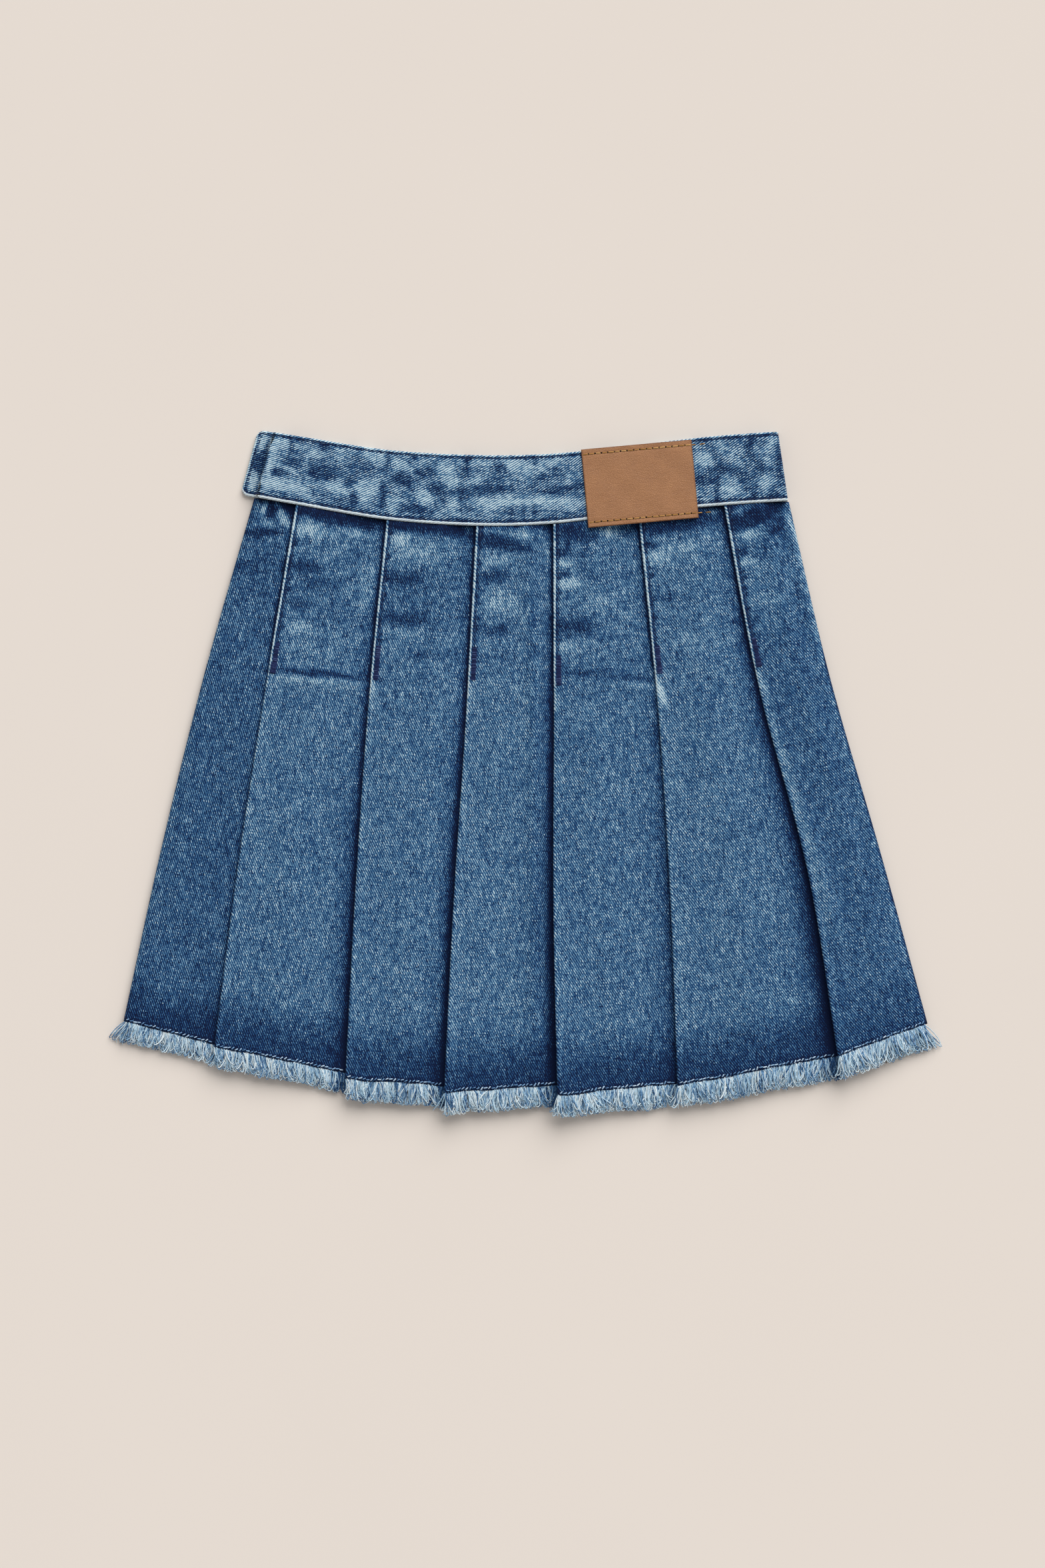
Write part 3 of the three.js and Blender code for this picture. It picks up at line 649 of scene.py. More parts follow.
# Marks of the wash on the back, set in the photo's pixels: centre, half length, half width, turn and
# strength. The dark ones just under the waistband's rim are partly painted shade, partly unfaded dye.
pixel = 0.35  # millimetres
farAway = 90.0
photoCentre = (788.0, 1160.0)  # the photo's pixel at the frame's origin
washMarks = (
    (408, 768, 8, 8, 0, -0.44), (397, 764, 14, 4, 66, 0.42), (425, 774, 14, 5, -62, 0.4),
    (392, 799, 32, 5, 0, -0.3), (434, 764, 6, 10, 0, -0.3), (372, 770, 24, 7, 66, -0.14),
    (402, 786, 14, 6, 0, 0.16), (376, 850, 30, 10, 0, -0.08), (506, 778, 58, 9, -13, -0.56),
    (464, 796, 26, 11, -8, 0.24), (525, 798, 26, 8, -10, 0.12), (458, 850, 28, 9, -8, -0.24),
    (448, 906, 22, 9, -6, -0.2), (480, 876, 34, 10, 0, -0.12), (452, 942, 18, 11, 0, 0.14),
    (552, 880, 34, 12, 80, 0.08), (500, 925, 40, 10, 0, -0.06), (482, 1011, 78, 4, -5, -0.36),
    (482, 1022, 70, 5, -5, 0.16), (470, 980, 30, 8, -5, 0.05), (640, 792, 64, 8, -5, -0.5),
    (690, 800, 20, 6, 0, -0.26), (600, 810, 18, 10, 0, 0.2), (703, 792, 14, 8, 70, 0.3),
    (634, 830, 32, 14, 0, 0.12), (604, 868, 32, 11, 0, -0.2), (604, 930, 38, 9, 0, -0.24),
    (604, 952, 24, 8, 0, 0.1), (640, 985, 40, 8, 0, -0.08), (738, 797, 22, 4, 0, 0.22),
    (786, 800, 15, 8, 0, 0.22), (737, 812, 30, 9, -8, -0.42), (774, 822, 24, 7, -5, -0.22),
    (742, 840, 24, 8, 0, 0.2), (740, 864, 26, 10, 0, -0.2), (752, 905, 22, 14, 0, 0.12),
    (744, 945, 28, 8, 0, -0.18), (750, 986, 26, 6, 0, -0.1), (862, 804, 34, 12, 0, -0.28),
    (918, 796, 18, 10, 30, 0.2), (846, 828, 12, 8, 0, -0.28), (850, 846, 12, 6, 0, 0.26),
    (846, 861, 9, 4, 0, -0.22), (852, 877, 20, 8, 0, 0.28), (862, 940, 32, 12, 0, -0.26),
    (850, 972, 22, 7, 0, 0.18), (884, 1010, 44, 5, 0, -0.18), (900, 900, 30, 16, 0, 0.08),
    (955, 1018, 26, 4, 0, -0.22), (955, 1028, 26, 5, 0, 0.12), (1010, 784, 66, 14, 8, -0.5),
    (1066, 770, 24, 4, 8, 0.22), (984, 838, 18, 10, 0, 0.28), (1022, 822, 30, 8, 5, 0.16),
    (974, 818, 10, 6, 0, -0.2), (1000, 900, 30, 8, 0, -0.08), (1040, 960, 40, 12, 0, 0.05),
    (1112, 764, 20, 4, 12, 0.16), (1138, 778, 40, 11, 12, -0.52), (1120, 804, 20, 8, 10, 0.24),
    (1112, 828, 9, 5, 0, -0.26), (1122, 843, 14, 6, 0, 0.26), (1152, 781, 25, 3.5, 30, 0.4),
    (1164, 796, 14, 6, 30, -0.26), (1152, 868, 28, 18, 0, -0.04), (1150, 940, 26, 10, 20, 0.06),
    (802, 900, 120, 9, 90, -0.05), (802, 1160, 160, 10, 90, -0.03), (802, 1440, 140, 10, 90, -0.02),
    (1206, 836, 76, 2.5, -67, 0.26), (1178, 776, 14, 3, -60, 0.2), (1166, 1110, 60, 7, -72, 0.08),
    (1196, 1210, 70, 9, -72, 0.1), (1234, 1330, 80, 11, -72, 0.09), (1222, 1440, 120, 14, -76, -0.06),
    (990, 1036, 24, 5, -68, 0.4), (1142, 1026, 24, 4, -68, 0.18), (1150, 880, 34, 44, 0, 0.08),
    (640, 890, 60, 42, 0, -0.06), (250, 1500, 52, 34, 0, 0.07), (560, 1035, 26, 4, 84, 0.1),
    (704, 1050, 30, 4, 86, 0.1), (660, 1500, 90, 7, 88, 0.06),
)
panelTone = (-0.12, -0.01, -0.01, 0.0, -0.02, -0.01, -0.10)  # each panel's own shift
# Painted shade left of each line, partly the unworn dye beside the fold: strength, width at the tacks and at
# the hem, and its dark core's widths
footShade = (
    (0, 1, 1, 1, 1),
    (0.12, 1.5, 3.2, 0.3, 0.3),
    (0.42, 1.8, 7.0, 0.9, 2.6),
    (0.42, 2.4, 6.5, 1.9, 3.0),
    (0.42, 2.0, 7.4, 2.2, 3.8),
    (0.26, 1.6, 6.5, 0.3, 0.3),
    (0.50, 2.2, 8.0, 1.2, 3.4),
    (0, 1, 1, 1, 1),
)


def marksAt(marks, x, y, sharp=2.6):
    shade = np.zeros_like(x)
    for column, row, long, wide, turn, strength in marks:
        c, s = math.cos(math.radians(turn)), math.sin(math.radians(turn))
        dx, dy = x / pixel + photoCentre[0] - column, y / pixel - (photoCentre[1] - row)
        distance = np.sqrt(((dx * c + dy * s) / long) ** 2 + ((dy * c - dx * s) / wide) ** 2)
        shade += strength * np.exp(-(distance**sharp))
    return shade


def foldedCloth(name, side):
    v = np.linspace(0, 1, side["rows"] + 1)
    flat = np.ones_like(v)
    xs, heights, hems, panels, tops = [], [], [], [], []

    def add(x, height, hem, panel, top):
        xs.append(x * flat)
        heights.append(height * flat)
        hems.append(hem)
        panels.append(panel)
        tops.append(top)

    underlay = underlayAt(v)
    way, foldSteps = side["way"], side["foldSteps"]
    bends = np.linspace(0, math.pi, foldSteps + 1)
    edgeColumns = {0: 0}
    for p in range(panelCount):
        panel = panelAt(side, p, v)

        def onPanel(w):
            hem = hemHeight(side, p, (w / panel["width"])[-1])
            add(panel["startX"] + way * w, panelHeight(side, p, w, v, panel), hem, p, 1)

        sideShares = 1 - np.cos(np.linspace(0, 1, foldSteps + 1) * math.pi / 2)
        starts = [s * sideBend for s in sideShares] if p == 0 else clothWall["stitchColumns"]
        for w in starts:
            onPanel(w * flat)
        begin = starts[-1] + 1.3
        finish = panel["diveEnd"] - (0.0 if panel["last"] else 2.6)
        steps = side["steps"] if panel["width"][-1] > 40 else side["steps"] - 4
        for share in np.linspace(0, 1, steps):
            onPanel(begin + (finish - begin) * share)
        if panel["last"]:
            for share in sideShares[:-1][::-1]:
                onPanel(panel["width"] - sideBend * share)
            break
        for back in clothWall["beforeFold"]:
            onPanel(panel["diveEnd"] - back)
        hemUnder = hemHeight(side, p, 1 + underlay[-1] / panel["width"][-1])
        hemNext = hemHeight(side, p + 1, 0)
        hemEdge = hemHeight(side, p, 1)
        edge = panel["end"]
        for share in (0.2, 0.55):
            add(panel["endX"] + way * underlay * share, 0.0, between(hemEdge, hemUnder, share), p, 0)
        inset = underlay - foldInset
        innerTop = pitch + liftAt(side, edge, underlay, v)
        for a in bends:
            out = inset + math.sin(a) * pitch / 2
            add(panel["endX"] + way * out, innerTop / 2 * (1 - math.cos(a)), hemUnder, p + (a > 1.5), 0)
        for share in (0.7, 0.4, 0.18):
            height = pitch + liftAt(side, edge, underlay * share, v)
            add(panel["endX"] + way * underlay * share, height, between(hemNext, hemUnder, share), p + 1, 0)
        edgeBase = pitch + liftAt(side, edge, foldInset, v)
        for a in bends:
            if abs(a - math.pi / 2) < 0.01:
                edgeColumns[p + 1] = len(xs)
            out = foldInset - math.sin(a) * pitch / 2
            add(panel["endX"] + way * out, edgeBase + pitch / 2 * (1 - math.cos(a)), hemNext, p + 1, a > 1.5)

    x, height = np.stack(xs, 1), np.stack(heights, 1)
    hems, panels, tops = np.array(hems), np.array(panels), np.array(tops, float)
    v = v[:, None]
    startY = np.interp(x[0], seamX, seamY) - gap
    y = between(startY, hems, v)
    down, up = startY - y, y - hems
    edgesX = np.stack([lineX(i, v[:, 0]) for i in side["order"]], 1)
    fromEdge = (x - edgesX[:, panels]) * way
    toNext = (edgesX[:, panels + 1] - x) * way
    if way > 0:
        room = smoothStep(underlay[:, None] + 1, underlay[:, None] + 8, fromEdge) * smoothStep(0, 1.5, height)
        inner = smoothStep(2.0, 9.0, fromEdge) * smoothStep(1.0, 9.0, toNext) * tops
        rise = creaseHeight(x, y) + puckers(x, down, up)
        height = height + inner * np.where(rise < 0, rise * room, rise)
    z = side["base"] + way * height
    length = np.concatenate([np.zeros_like(x[:, :1]), np.cumsum(np.hypot(np.diff(x), np.diff(z)), 1)], 1)
    edgeLength = np.stack([length[:, edgeColumns[p]] for p in range(panelCount)], 1)

    shiftAcross, shiftAlong = clothWall["grainShift"]

    def plan(panelOf):  # each panel in its own straight grain
        along = length - edgeLength[:, panelOf]
        px = edgesX[:, panelOf] + way * along
        u, w = np.zeros_like(px), np.zeros_like(px)
        for p in range(panelCount):
            a, b = side["order"][p], side["order"][p + 1]
            foot, head = (Vector([(line[part + axis][a] + line[part + axis][b]) / 2 for axis in "XY"])
                          for part in ("hem", "waist"))
            grain = (head - foot).normalized()
            here = panelOf == p
            u[:, here] = way * (px[:, here] * grain.y - y[:, here] * grain.x) + shiftAcross * p
            w[:, here] = px[:, here] * grain.x + y[:, here] * grain.y + shiftAlong * p
        return np.stack([u, w], 2)

    stitched = smoothStep(86, 76, down) * tops if way > 0 else 0 * x
    uneven = 1 + 0.35 * waves(y, (6.0, 9.5, 14.0), 7)
    cord = clothWall["cordRise"] * bump(fromEdge, 0.75, 0.6)
    groove = clothWall["grooveDepth"] * bump(fromEdge, 2.5, 0.8)
    swell = uneven * (cord - groove) * stitched
    swell = swell - clothWall["hemGroove"] * bump(up, 1.4, 0.7) * tops * (way > 0)
    outerX, outerZ = movedOut(x, z, half + swell * (panels > 0))
    innerX, innerZ = movedOut(x, z, -half)
    outer = np.stack([outerX, y, outerZ], 2)
    inner = np.stack([innerX, y, innerZ], 2)
    if way < 0:
        outer[..., 2] = np.maximum(outer[..., 2], 0.0)
    wash, shade = 0 * x, np.array(panelTone)[panels] + 0 * x
    if way > 0:
        # Painted shade left of each pleat edge, partly unworn dye, with a darker core below the tacks
        strength, narrow, wide, coreNarrow, coreWide = np.array(footShade)[panels + 1].T
        off = np.maximum(toNext, 0)
        soft = np.exp(-((off / between(narrow, wide, v)) ** 1.3))
        core = np.exp(-((off / between(coreNarrow, coreWide, v)) ** 3)) * smoothStep(60, 90, down)
        shade = shade - strength * soft - 0.4 * core
        # Painted light along both side folds, and a lighter hem on the last panel
        lastPanel, firstPanel = panels == panelCount - 1, panels == 0
        shade = shade + lastPanel * (0.16 * np.exp(-((off / 2.4) ** 2)) + 0.17 * smoothStep(32, 8, up))
        shade = shade + firstPanel * 0.08 * np.exp(-((np.maximum(fromEdge, 0) / 2.4) ** 2))
        # Marks of the wash, and painted shade just under the waistband's rim
        wash = marksAt(washMarks, x, y)
    # The sides of the skirt have no pleat edge near them
    fromEdge = (outerX - edgesX[:, panels]) * way + np.where(panels == 0, farAway, 0.0)
    toNext = (edgesX[:, panels + 1] - outerX) * way + np.where(panels == panelCount - 1, farAway, 0.0)
    started = plan(panels)
    ended = plan(np.concatenate([panels[:1], panels[:-1]]))
    plain = {"fromEdge": fromEdge, "toNext": toNext, "down": down, "up": up, "wash": wash, "shade": shade}
    return wall(name, outer, inner, bodyMaterial, started, ended, wrongSide=(0 * x, 0 * x + 1), **plain)


print("cloth")
skirtBack = foldedCloth("pleatedBack", backHalf)
skirtFront = foldedCloth("pleatedFront", frontHalf)

# Waistband
band = {
    "thickness": 2.4,
    "lowEdgeZ": 7.2,
    "topEdgeZ": 5.2,
    "corner": 0.8,
    "bend": 2.0,
    "bendSteps": 6,
    "stations": 250,
    "tabStations": 130,
    "tabReach": 8.0,
    "tabCorner": 4.0,
    "rim": 0.16,  # height of the turned edge's bead and depth of the sewn groove behind it
    "groove": 0.30,
}
# Marks of the wash on the band and its tab, set as the skirt's are. The dark ones on the tab beside the
# band's turned end are painted shadow of that fold.
bandMarks = (
    # The darkest marks in these two rows are painted shadow on the tab
    (390, 693, 13, 9, 60, -0.75), (395, 662, 13, 12, 0, 0.42), (380, 724, 16, 10, 70, 0.3),
    (408, 697, 44, 5, 77, 0.34), (396, 690, 44, 3, 77, -0.5), (426, 666, 16, 8, -10, 0.26),
    (438, 668, 11, 4, 90, -0.34), (474, 680, 30, 8, -28, 0.18), (490, 670, 8, 6, 0, -0.2),
    (441, 693, 17, 7, 0, -0.28), (430, 703, 26, 4, -32, 0.22), (418, 710, 13, 5, -8, -0.34),
    (430, 730, 38, 10, -12, 0.32), (484, 710, 28, 9, 0, -0.28), (506, 735, 42, 7, -14, 0.22),
    (526, 725, 10, 7, 0, -0.28), (510, 682, 10, 7, 90, 0.2), (560, 684, 28, 10, -28, 0.24),
    (550, 737, 16, 16, 0, 0.26), (531, 750, 14, 7, 80, -0.34), (583, 690, 15, 4, 80, -0.38),
    (606, 722, 20, 8, -10, -0.24), (575, 742, 15, 5, 90, -0.28), (606, 700, 22, 8, -20, 0.2),
    (592, 756, 12, 10, 0, 0.2), (618, 764, 24, 7, -5, -0.34), (640, 748, 13, 14, 0, 0.24),
    (636, 710, 15, 8, 0, -0.22), (672, 712, 28, 11, -55, 0.32), (655, 735, 10, 9, 0, -0.28),
    (692, 742, 22, 5, 90, -0.22), (680, 756, 10, 11, 0, 0.22), (745, 755, 46, 7, 0, 0.34),
    (740, 736, 42, 6, 0, -0.24), (700, 700, 17, 5, 90, -0.24), (722, 694, 16, 6, 0, 0.22),
    (766, 694, 15, 9, 0, 0.16), (750, 701, 9, 8, 0, -0.24), (716, 721, 15, 6, 0, 0.18),
    (768, 768, 9, 4, 90, -0.24), (786, 766, 9, 4, 80, -0.2), (786, 702, 30, 9, -18, 0.2),
    (802, 690, 12, 5, 90, -0.18), (840, 690, 15, 11, 0, 0.16), (846, 735, 32, 6, 8, -0.28),
    (808, 752, 40, 7, 0, 0.24), (850, 758, 26, 8, 5, 0.22), (802, 766, 10, 4, 90, -0.24),
    (826, 716, 18, 6, 0, -0.14), (1056, 690, 13, 12, 60, 0.24), (1048, 724, 11, 8, 0, -0.22),
    (1094, 684, 24, 7, -42, 0.22), (1086, 706, 20, 8, 0, -0.26), (1092, 734, 17, 15, 0, 0.26),
    (1075, 742, 19, 4, 90, -0.3), (1124, 670, 14, 5, 90, -0.28), (1134, 694, 18, 6, -50, -0.24),
    (1152, 678, 17, 8, 80, 0.22), (1146, 726, 14, 12, 60, 0.26), (1130, 742, 13, 5, 90, -0.28),
    (1160, 746, 11, 6, 0, -0.32), (1168, 692, 24, 5, 90, -0.24), (1112, 720, 16, 7, -60, -0.1),
    (1110, 714, 66, 46, 0, -0.06),
)


def atSeam(number, values):
    return splineAt(values, np.asarray(number, float) / panelCount)


def bandPoint(number, b, along=0.0):
    inward = 0.2 if number < panelCount / 2 else -0.2
    x0, y0 = atSeam(number, line["waistX"]), atSeam(number, line["waistY"])
    dx, dy = atSeam(number + inward, line["waistX"]) - x0, atSeam(number + inward, line["waistY"]) - y0
    size = math.hypot(dx, dy)
    x1, y1 = atSeam(number, line["bandX"]), atSeam(number, line["bandY"])
    return between(x0, x1, b) + dx / size * along, between(y0, y1, b) + dy / size * along


def bandHeightAt(number):
    (x0, y0), (x1, y1) = bandPoint(number, 0.0), bandPoint(number, 1.0)
    return math.hypot(x1 - x0, y1 - y0)


def bandMiddleZ(b):
    return between(band["lowEdgeZ"], band["topEdgeZ"], b)


bandSteps = np.array([0, 0.1, 0.3, 0.6, 0.95, 1.35, 1.8, 2.3, 2.9, 3.6, 4.5])  # rows of points from each edge


def bandShares(height):
    edge = bandSteps / height
    return np.concatenate([edge, np.linspace(edge[-1], 1 - edge[-1], 17)[1:-1], 1 - edge[::-1]])


def bandHalf(fromEdge):
    corner = band["corner"]
    short = np.clip(1 - fromEdge / corner, 0, 1)
    return band["thickness"] / 2 - corner * (1 - np.sqrt(1 - short**2))


def bandRelief(along, fromLow, fromTop):
    pucker = waves(along, (4.6, 6.3, 9.1), 11) * (np.exp(-fromLow / 6.0) + 0.8 * np.exp(-fromTop / 5.0))
    middle = np.sin(np.clip(fromLow / (fromLow + fromTop), 0, 1) * math.pi)
    soft = waves(along, (31.0, 47.0, 68.0), 12) * middle
    rims = band["rim"] * (bump(fromLow, 0.8, 0.6) + 0.6 * bump(fromTop, 0.6, 0.5))
    grooves = band["groove"] * (bump(fromLow, 2.1, 0.6) + 0.8 * bump(fromTop, 1.7, 0.6))
    inside = np.clip(np.minimum(fromLow, fromTop) / 0.6, 0, 1)
    return inside * (rims - grooves + 0.16 * pucker + 0.22 * soft)


def backBand():
    thick, bend, steps = band["thickness"] / 2, band["bend"], band["bendSteps"]
    turn = [(thick, None, 1.0)]
    for a in np.linspace(0, math.pi / 2, steps + 1):
        turn.append((thick + bend * (1 - math.cos(a)), bend * (1 - math.sin(a)), math.cos(a)))
    stations = [(0, *t) for t in turn]
    first, last = 0.06, panelCount - 0.06
    stations += [(number, 0.0, 0.0, 0.0) for number in np.linspace(first, last, band["stations"])]
    stations += [(panelCount, *t) for t in turn[::-1]]
    outer, inner, plans, lows, tops, ends = [], [], [], [], [], []
    for number, out, drop, lean in stations:
        height = bandHeightAt(number)
        shares = bandShares(height)
        fromLow, fromTop = shares * height, (1 - shares) * height
        x0, _ = bandPoint(number, 0.5)
        rise = math.sqrt(1 - lean * lean)
        thickness = bandHalf(np.minimum(fromLow, fromTop))
        relief = bandRelief(x0, fromLow, fromTop) * rise
        baseZ = band["thickness"] + gap if drop is None else bandMiddleZ(shares) - drop
        for sign, rows in ((1, outer), (-1, inner)):
            offset = sign * thickness + (relief if sign > 0 else 0)
            px, py = bandPoint(number, shares * (1 - 0.03 * lean * lean), out - offset * lean)
            rows.append(np.stack([px, py, baseZ + offset * rise + 0 * px], 1))
        side = 1 if number < panelCount / 2 else -1
        sunk = 0.0 if drop is None else drop
        walk = atSeam(number, line["waistX"]) + side * (out - (sunk if lean > 0 else 0))
        plans.append(np.stack([fromLow, np.full_like(shares, walk)], 1))
        lows.append(fromLow)
        tops.append(fromTop)
        ends.append(np.full_like(shares, farAway))
    outer, inner, plans = np.array(outer), np.array(inner), np.array(plans)
    plans[..., 0] *= -1
    wash = marksAt(bandMarks, outer[..., 0], outer[..., 1])
    return wall("waistbandBack", outer, inner, bandMaterial, plans, fromLow=np.array(lows),
                fromTop=np.array(tops), fromEnd=np.array(ends), wash=wash)


def frontBand():
    reach, corner = band["tabReach"], band["tabCorner"]
    turned = corner * (1 - np.cos(np.linspace(0, 1, 9) * math.pi / 2))
    outs = np.concatenate([turned, np.linspace(corner, reach, 5)[1:]])
    numbers = np.linspace(0, panelCount, band["tabStations"])[1:]
    stations = [(0, out - reach) for out in outs] + [(number, 0.0) for number in numbers]
    upper, lower, plans, lows, tops, ends = [], [], [], [], [], []
    for number, out in stations:
        height = bandHeightAt(number)
        short = max(0.0, 1 - (out + reach) / corner) if out < 0 else 0.0
        inset = corner * (1 - math.sqrt(1 - short * short))
        shares = bandShares(height)
        fromLow, fromTop = shares * (height - 2 * inset), (1 - shares) * (height - 2 * inset)
        px, py = bandPoint(number, between(inset / height, 1 - inset / height, shares), out)
        walk = atSeam(number, line["waistX"])
        fromEnd = np.full_like(shares, out + reach if number == 0 else farAway)
        thickness = bandHalf(np.minimum(np.minimum(fromLow, fromTop), fromEnd))
        relief = bandRelief(walk + out, fromLow, fromTop)
        relief = relief + 0.5 * bandRelief(0 * fromEnd, fromEnd, 0 * fromEnd + 30) * (number == 0)
        z = band["thickness"] / 2 + thickness + np.maximum(relief, -0.5)
        upper.append(np.stack([px, py, z], 1))
        lower.append(np.stack([px, py, 0 * px], 1))
        plans.append(np.stack([-fromLow - inset, 0 * shares + walk + out], 1))
        lows.append(fromLow)
        tops.append(fromTop)
        ends.append(fromEnd)
    upper, lower, plans = np.array(upper), np.array(lower), np.array(plans)
    wash = marksAt(bandMarks, upper[..., 0], upper[..., 1])
    return wall("waistbandFront", upper, lower, bandMaterial, plans, fromLow=np.array(lows),
                fromTop=np.array(tops), fromEnd=np.array(ends), wash=wash)


print("waistband")
bandBack = backBand()
bandFront = frontBand()

# Leather patch, left bare
patch = {
    "width": 58.0,
    "height": 41.3,
    "thickness": 1.2,
    "centre": (60.0, 151.5),
    "tilt": 5.2,
    "corner": 0.5,
    "across": 64,
    "up": 46,
    "rowInset": 2.75,  # stitch rows from the long edges
    "rowEnd": 2.0,
    "stitches": 16,
    "tail": (0.6, 5.4),  # loose thread ends past the right edge
}
rowUp = patch["height"] / 2 - patch["rowInset"]
stitchStep = (patch["width"] - 2 * patch["rowEnd"]) / patch["stitches"]


def patchPlan(across, up):  # patch millimetres from its middle to the skirt's
    c, s = math.cos(math.radians(patch["tilt"])), math.sin(math.radians(patch["tilt"]))
    return patch["centre"][0] + across * c - up * s, patch["centre"][1] + across * s + up * c


def bandShareAt(x, y):
    low = np.interp(x, seamX, seamY)
    return (y - low) / (np.interp(x, bandTopX, bandTopY) - low)


def patchPiece():
    wide, high = patch["width"], patch["height"]
    edge, inset = np.array([0, 0.12, 0.35, 0.7, 1.2]), 1.9

    def steps(size, count):  # close together at both rims
        middle = np.linspace(inset, size - inset, count)
        return np.concatenate([edge, middle, size - edge[::-1]]) - size / 2

    a, b = np.meshgrid(steps(wide, patch["across"]), steps(high, patch["up"]), indexing="ij")
    px, py = patchPlan(a, b)
    base = bandMiddleZ(bandShareAt(px, py)) + band["thickness"] / 2 + gap
    rim = np.minimum(wide / 2 - np.abs(a), high / 2 - np.abs(b))
    short = np.clip(1 - rim / patch["corner"], 0, 1)
    sunk = 0.22 * bump(np.abs(b), rowUp, 0.9) * smoothStep(-0.5, 1.5, rim)
    cockle = 0.14 * waves(a, (9.0, 14.0, 23.0), 21) * smoothStep(6, 0, rim)
    cockle = cockle + 0.12 * waves(b + a, (19.0, 31.0), 22)
    top = base + patch["thickness"] - patch["corner"] * (1 - np.sqrt(1 - short**2)) - sunk + cockle
    outer = np.stack([px, py, top], 2)
    inner = np.stack([px, py, base], 2)
    return wall("leatherPatch", outer, inner, leatherMaterial, np.stack([a, b], 2), fromRim=rim)


# The pits' dark colour is painted shade for the needle holes
def needleHoles(name):  # dark pits between the stitches of both rows
    turns = np.linspace(0, 2 * math.pi, 9)[:-1]
    count = len(turns)
    points, faces = [], []
    for sign in (1, -1):
        for i in range(patch["stitches"]):
            a, b = -patch["width"] / 2 + patch["rowEnd"] + stitchStep * (i + 0.5), sign * rowUp
            first = len(points)
            for reach, lift in ((0.62, 0.0), (0.5, 0.10), (0.3, 0.02)):
                for t in turns:
                    x, y = patchPlan(a + reach * math.cos(t), b + 0.8 * reach * math.sin(t))
                    points.append((x * mm, y * mm, (patchTop(x, y) + lift) * mm))
            for low in (first, first + count):
                for k in range(count):
                    after = (k + 1) % count
                    faces.append((low + k, low + after, low + count + after, low + count + k))
            faces.append(tuple(range(first + 2 * count, first + 3 * count)))
            faces.append(tuple(range(first + count - 1, first - 1, -1)))
    mesh = bpy.data.meshes.new(name)
    mesh.from_pydata(points, [], faces)
    mesh.materials.append(holeMaterial)
    return addPiece(name, mesh)


print("patch")
leatherPatch = patchPiece()


# Heights on the finished pieces, for what is sewn to them
def surfaceOf(*pieces):
    trees = []
    for piece in pieces:
        mesh = piece.data
        corners = [vertex.co for vertex in mesh.vertices]
        trees.append(BVHTree.FromPolygons(corners, [face.vertices for face in mesh.polygons]))

    def heightAt(x, y):
        above, down = Vector((x * mm, y * mm, 0.1)), Vector((0, 0, -1))
        hits = [tree.ray_cast(above, down)[0] for tree in trees]
        tops = [hit.z / mm for hit in hits if hit is not None]
        return max(tops) if tops else 0.0

    return heightAt


# Geometry Nodes trees
def geometryTree(name, values, output):
    tree = bpy.data.node_groups.new(name, "GeometryNodeTree")
    sockets = tree.interface
    sockets.new_socket("Geometry", in_out="INPUT", socket_type="NodeSocketGeometry")
    for label, value in values.items():
        kind = "NodeSocketInt" if isinstance(value, int) else "NodeSocketFloat"
        sockets.new_socket(label, in_out="INPUT", socket_type=kind).default_value = value
    sockets.new_socket("Material", in_out="INPUT", socket_type="NodeSocketMaterial")
    sockets.new_socket("Geometry", in_out="OUTPUT", socket_type="NodeSocketGeometry")
    start = put(tree, "NodeGroupInput").outputs
    end = put(tree, "NodeGroupOutput")
    tree.links.new(output(tree, start), end.inputs[0])
    return tree


def chance(tree, low, high, seed, salt):  # a random number for each thread
    inputs = {2: low, 3: high, 8: calc(tree, "ADD", seed, float(salt))}
    return put(tree, "FunctionNodeRandomValue", inputs, data_type="FLOAT").outputs[1]


def tubeAlong(tree, curve, radius, sides, scale):
    ring = put(tree, "GeometryNodeCurvePrimitiveCircle", {"Resolution": sides, "Radius": radius})
    inputs = {"Curve": curve.outputs[0], "Profile Curve": ring.outputs[0], "Scale": scale, "Fill Caps": True}
    return put(tree, "GeometryNodeCurveToMesh", inputs).outputs[0]


def spacedAlong(tree, path, length):
    inputs = {"Curve": put(tree, "GeometryNodeMeshToCurve", {0: path}).outputs[0], "Length": length}
    return put(tree, "GeometryNodeResampleCurve", inputs, mode="LENGTH").outputs[0]


def finishInstances(tree, instances, shade, material):
    inputs = {"Geometry": instances, "Name": "shade", "Value": shade}
    stored = put(tree, "GeometryNodeStoreNamedAttribute", inputs, data_type="FLOAT", domain="INSTANCE")
    real = put(tree, "GeometryNodeRealizeInstances", {0: stored.outputs[0]})
    split = put(tree, "ShaderNodeSeparateXYZ", {0: put(tree, "GeometryNodeInputPosition").outputs[0]})
    above = vectorOf(tree, split.outputs[0], split.outputs[1], calc(tree, "MAXIMUM", split.outputs[2], 0.0))
    lying = put(tree, "GeometryNodeSetPosition", {"Geometry": real.outputs[0], "Position": above})
    smooth = put(tree, "GeometryNodeSetShadeSmooth", {"Geometry": lying.outputs[0]})
    inputs = {"Geometry": smooth.outputs[0], "Material": material}
    return put(tree, "GeometryNodeSetMaterial", inputs).outputs[0]


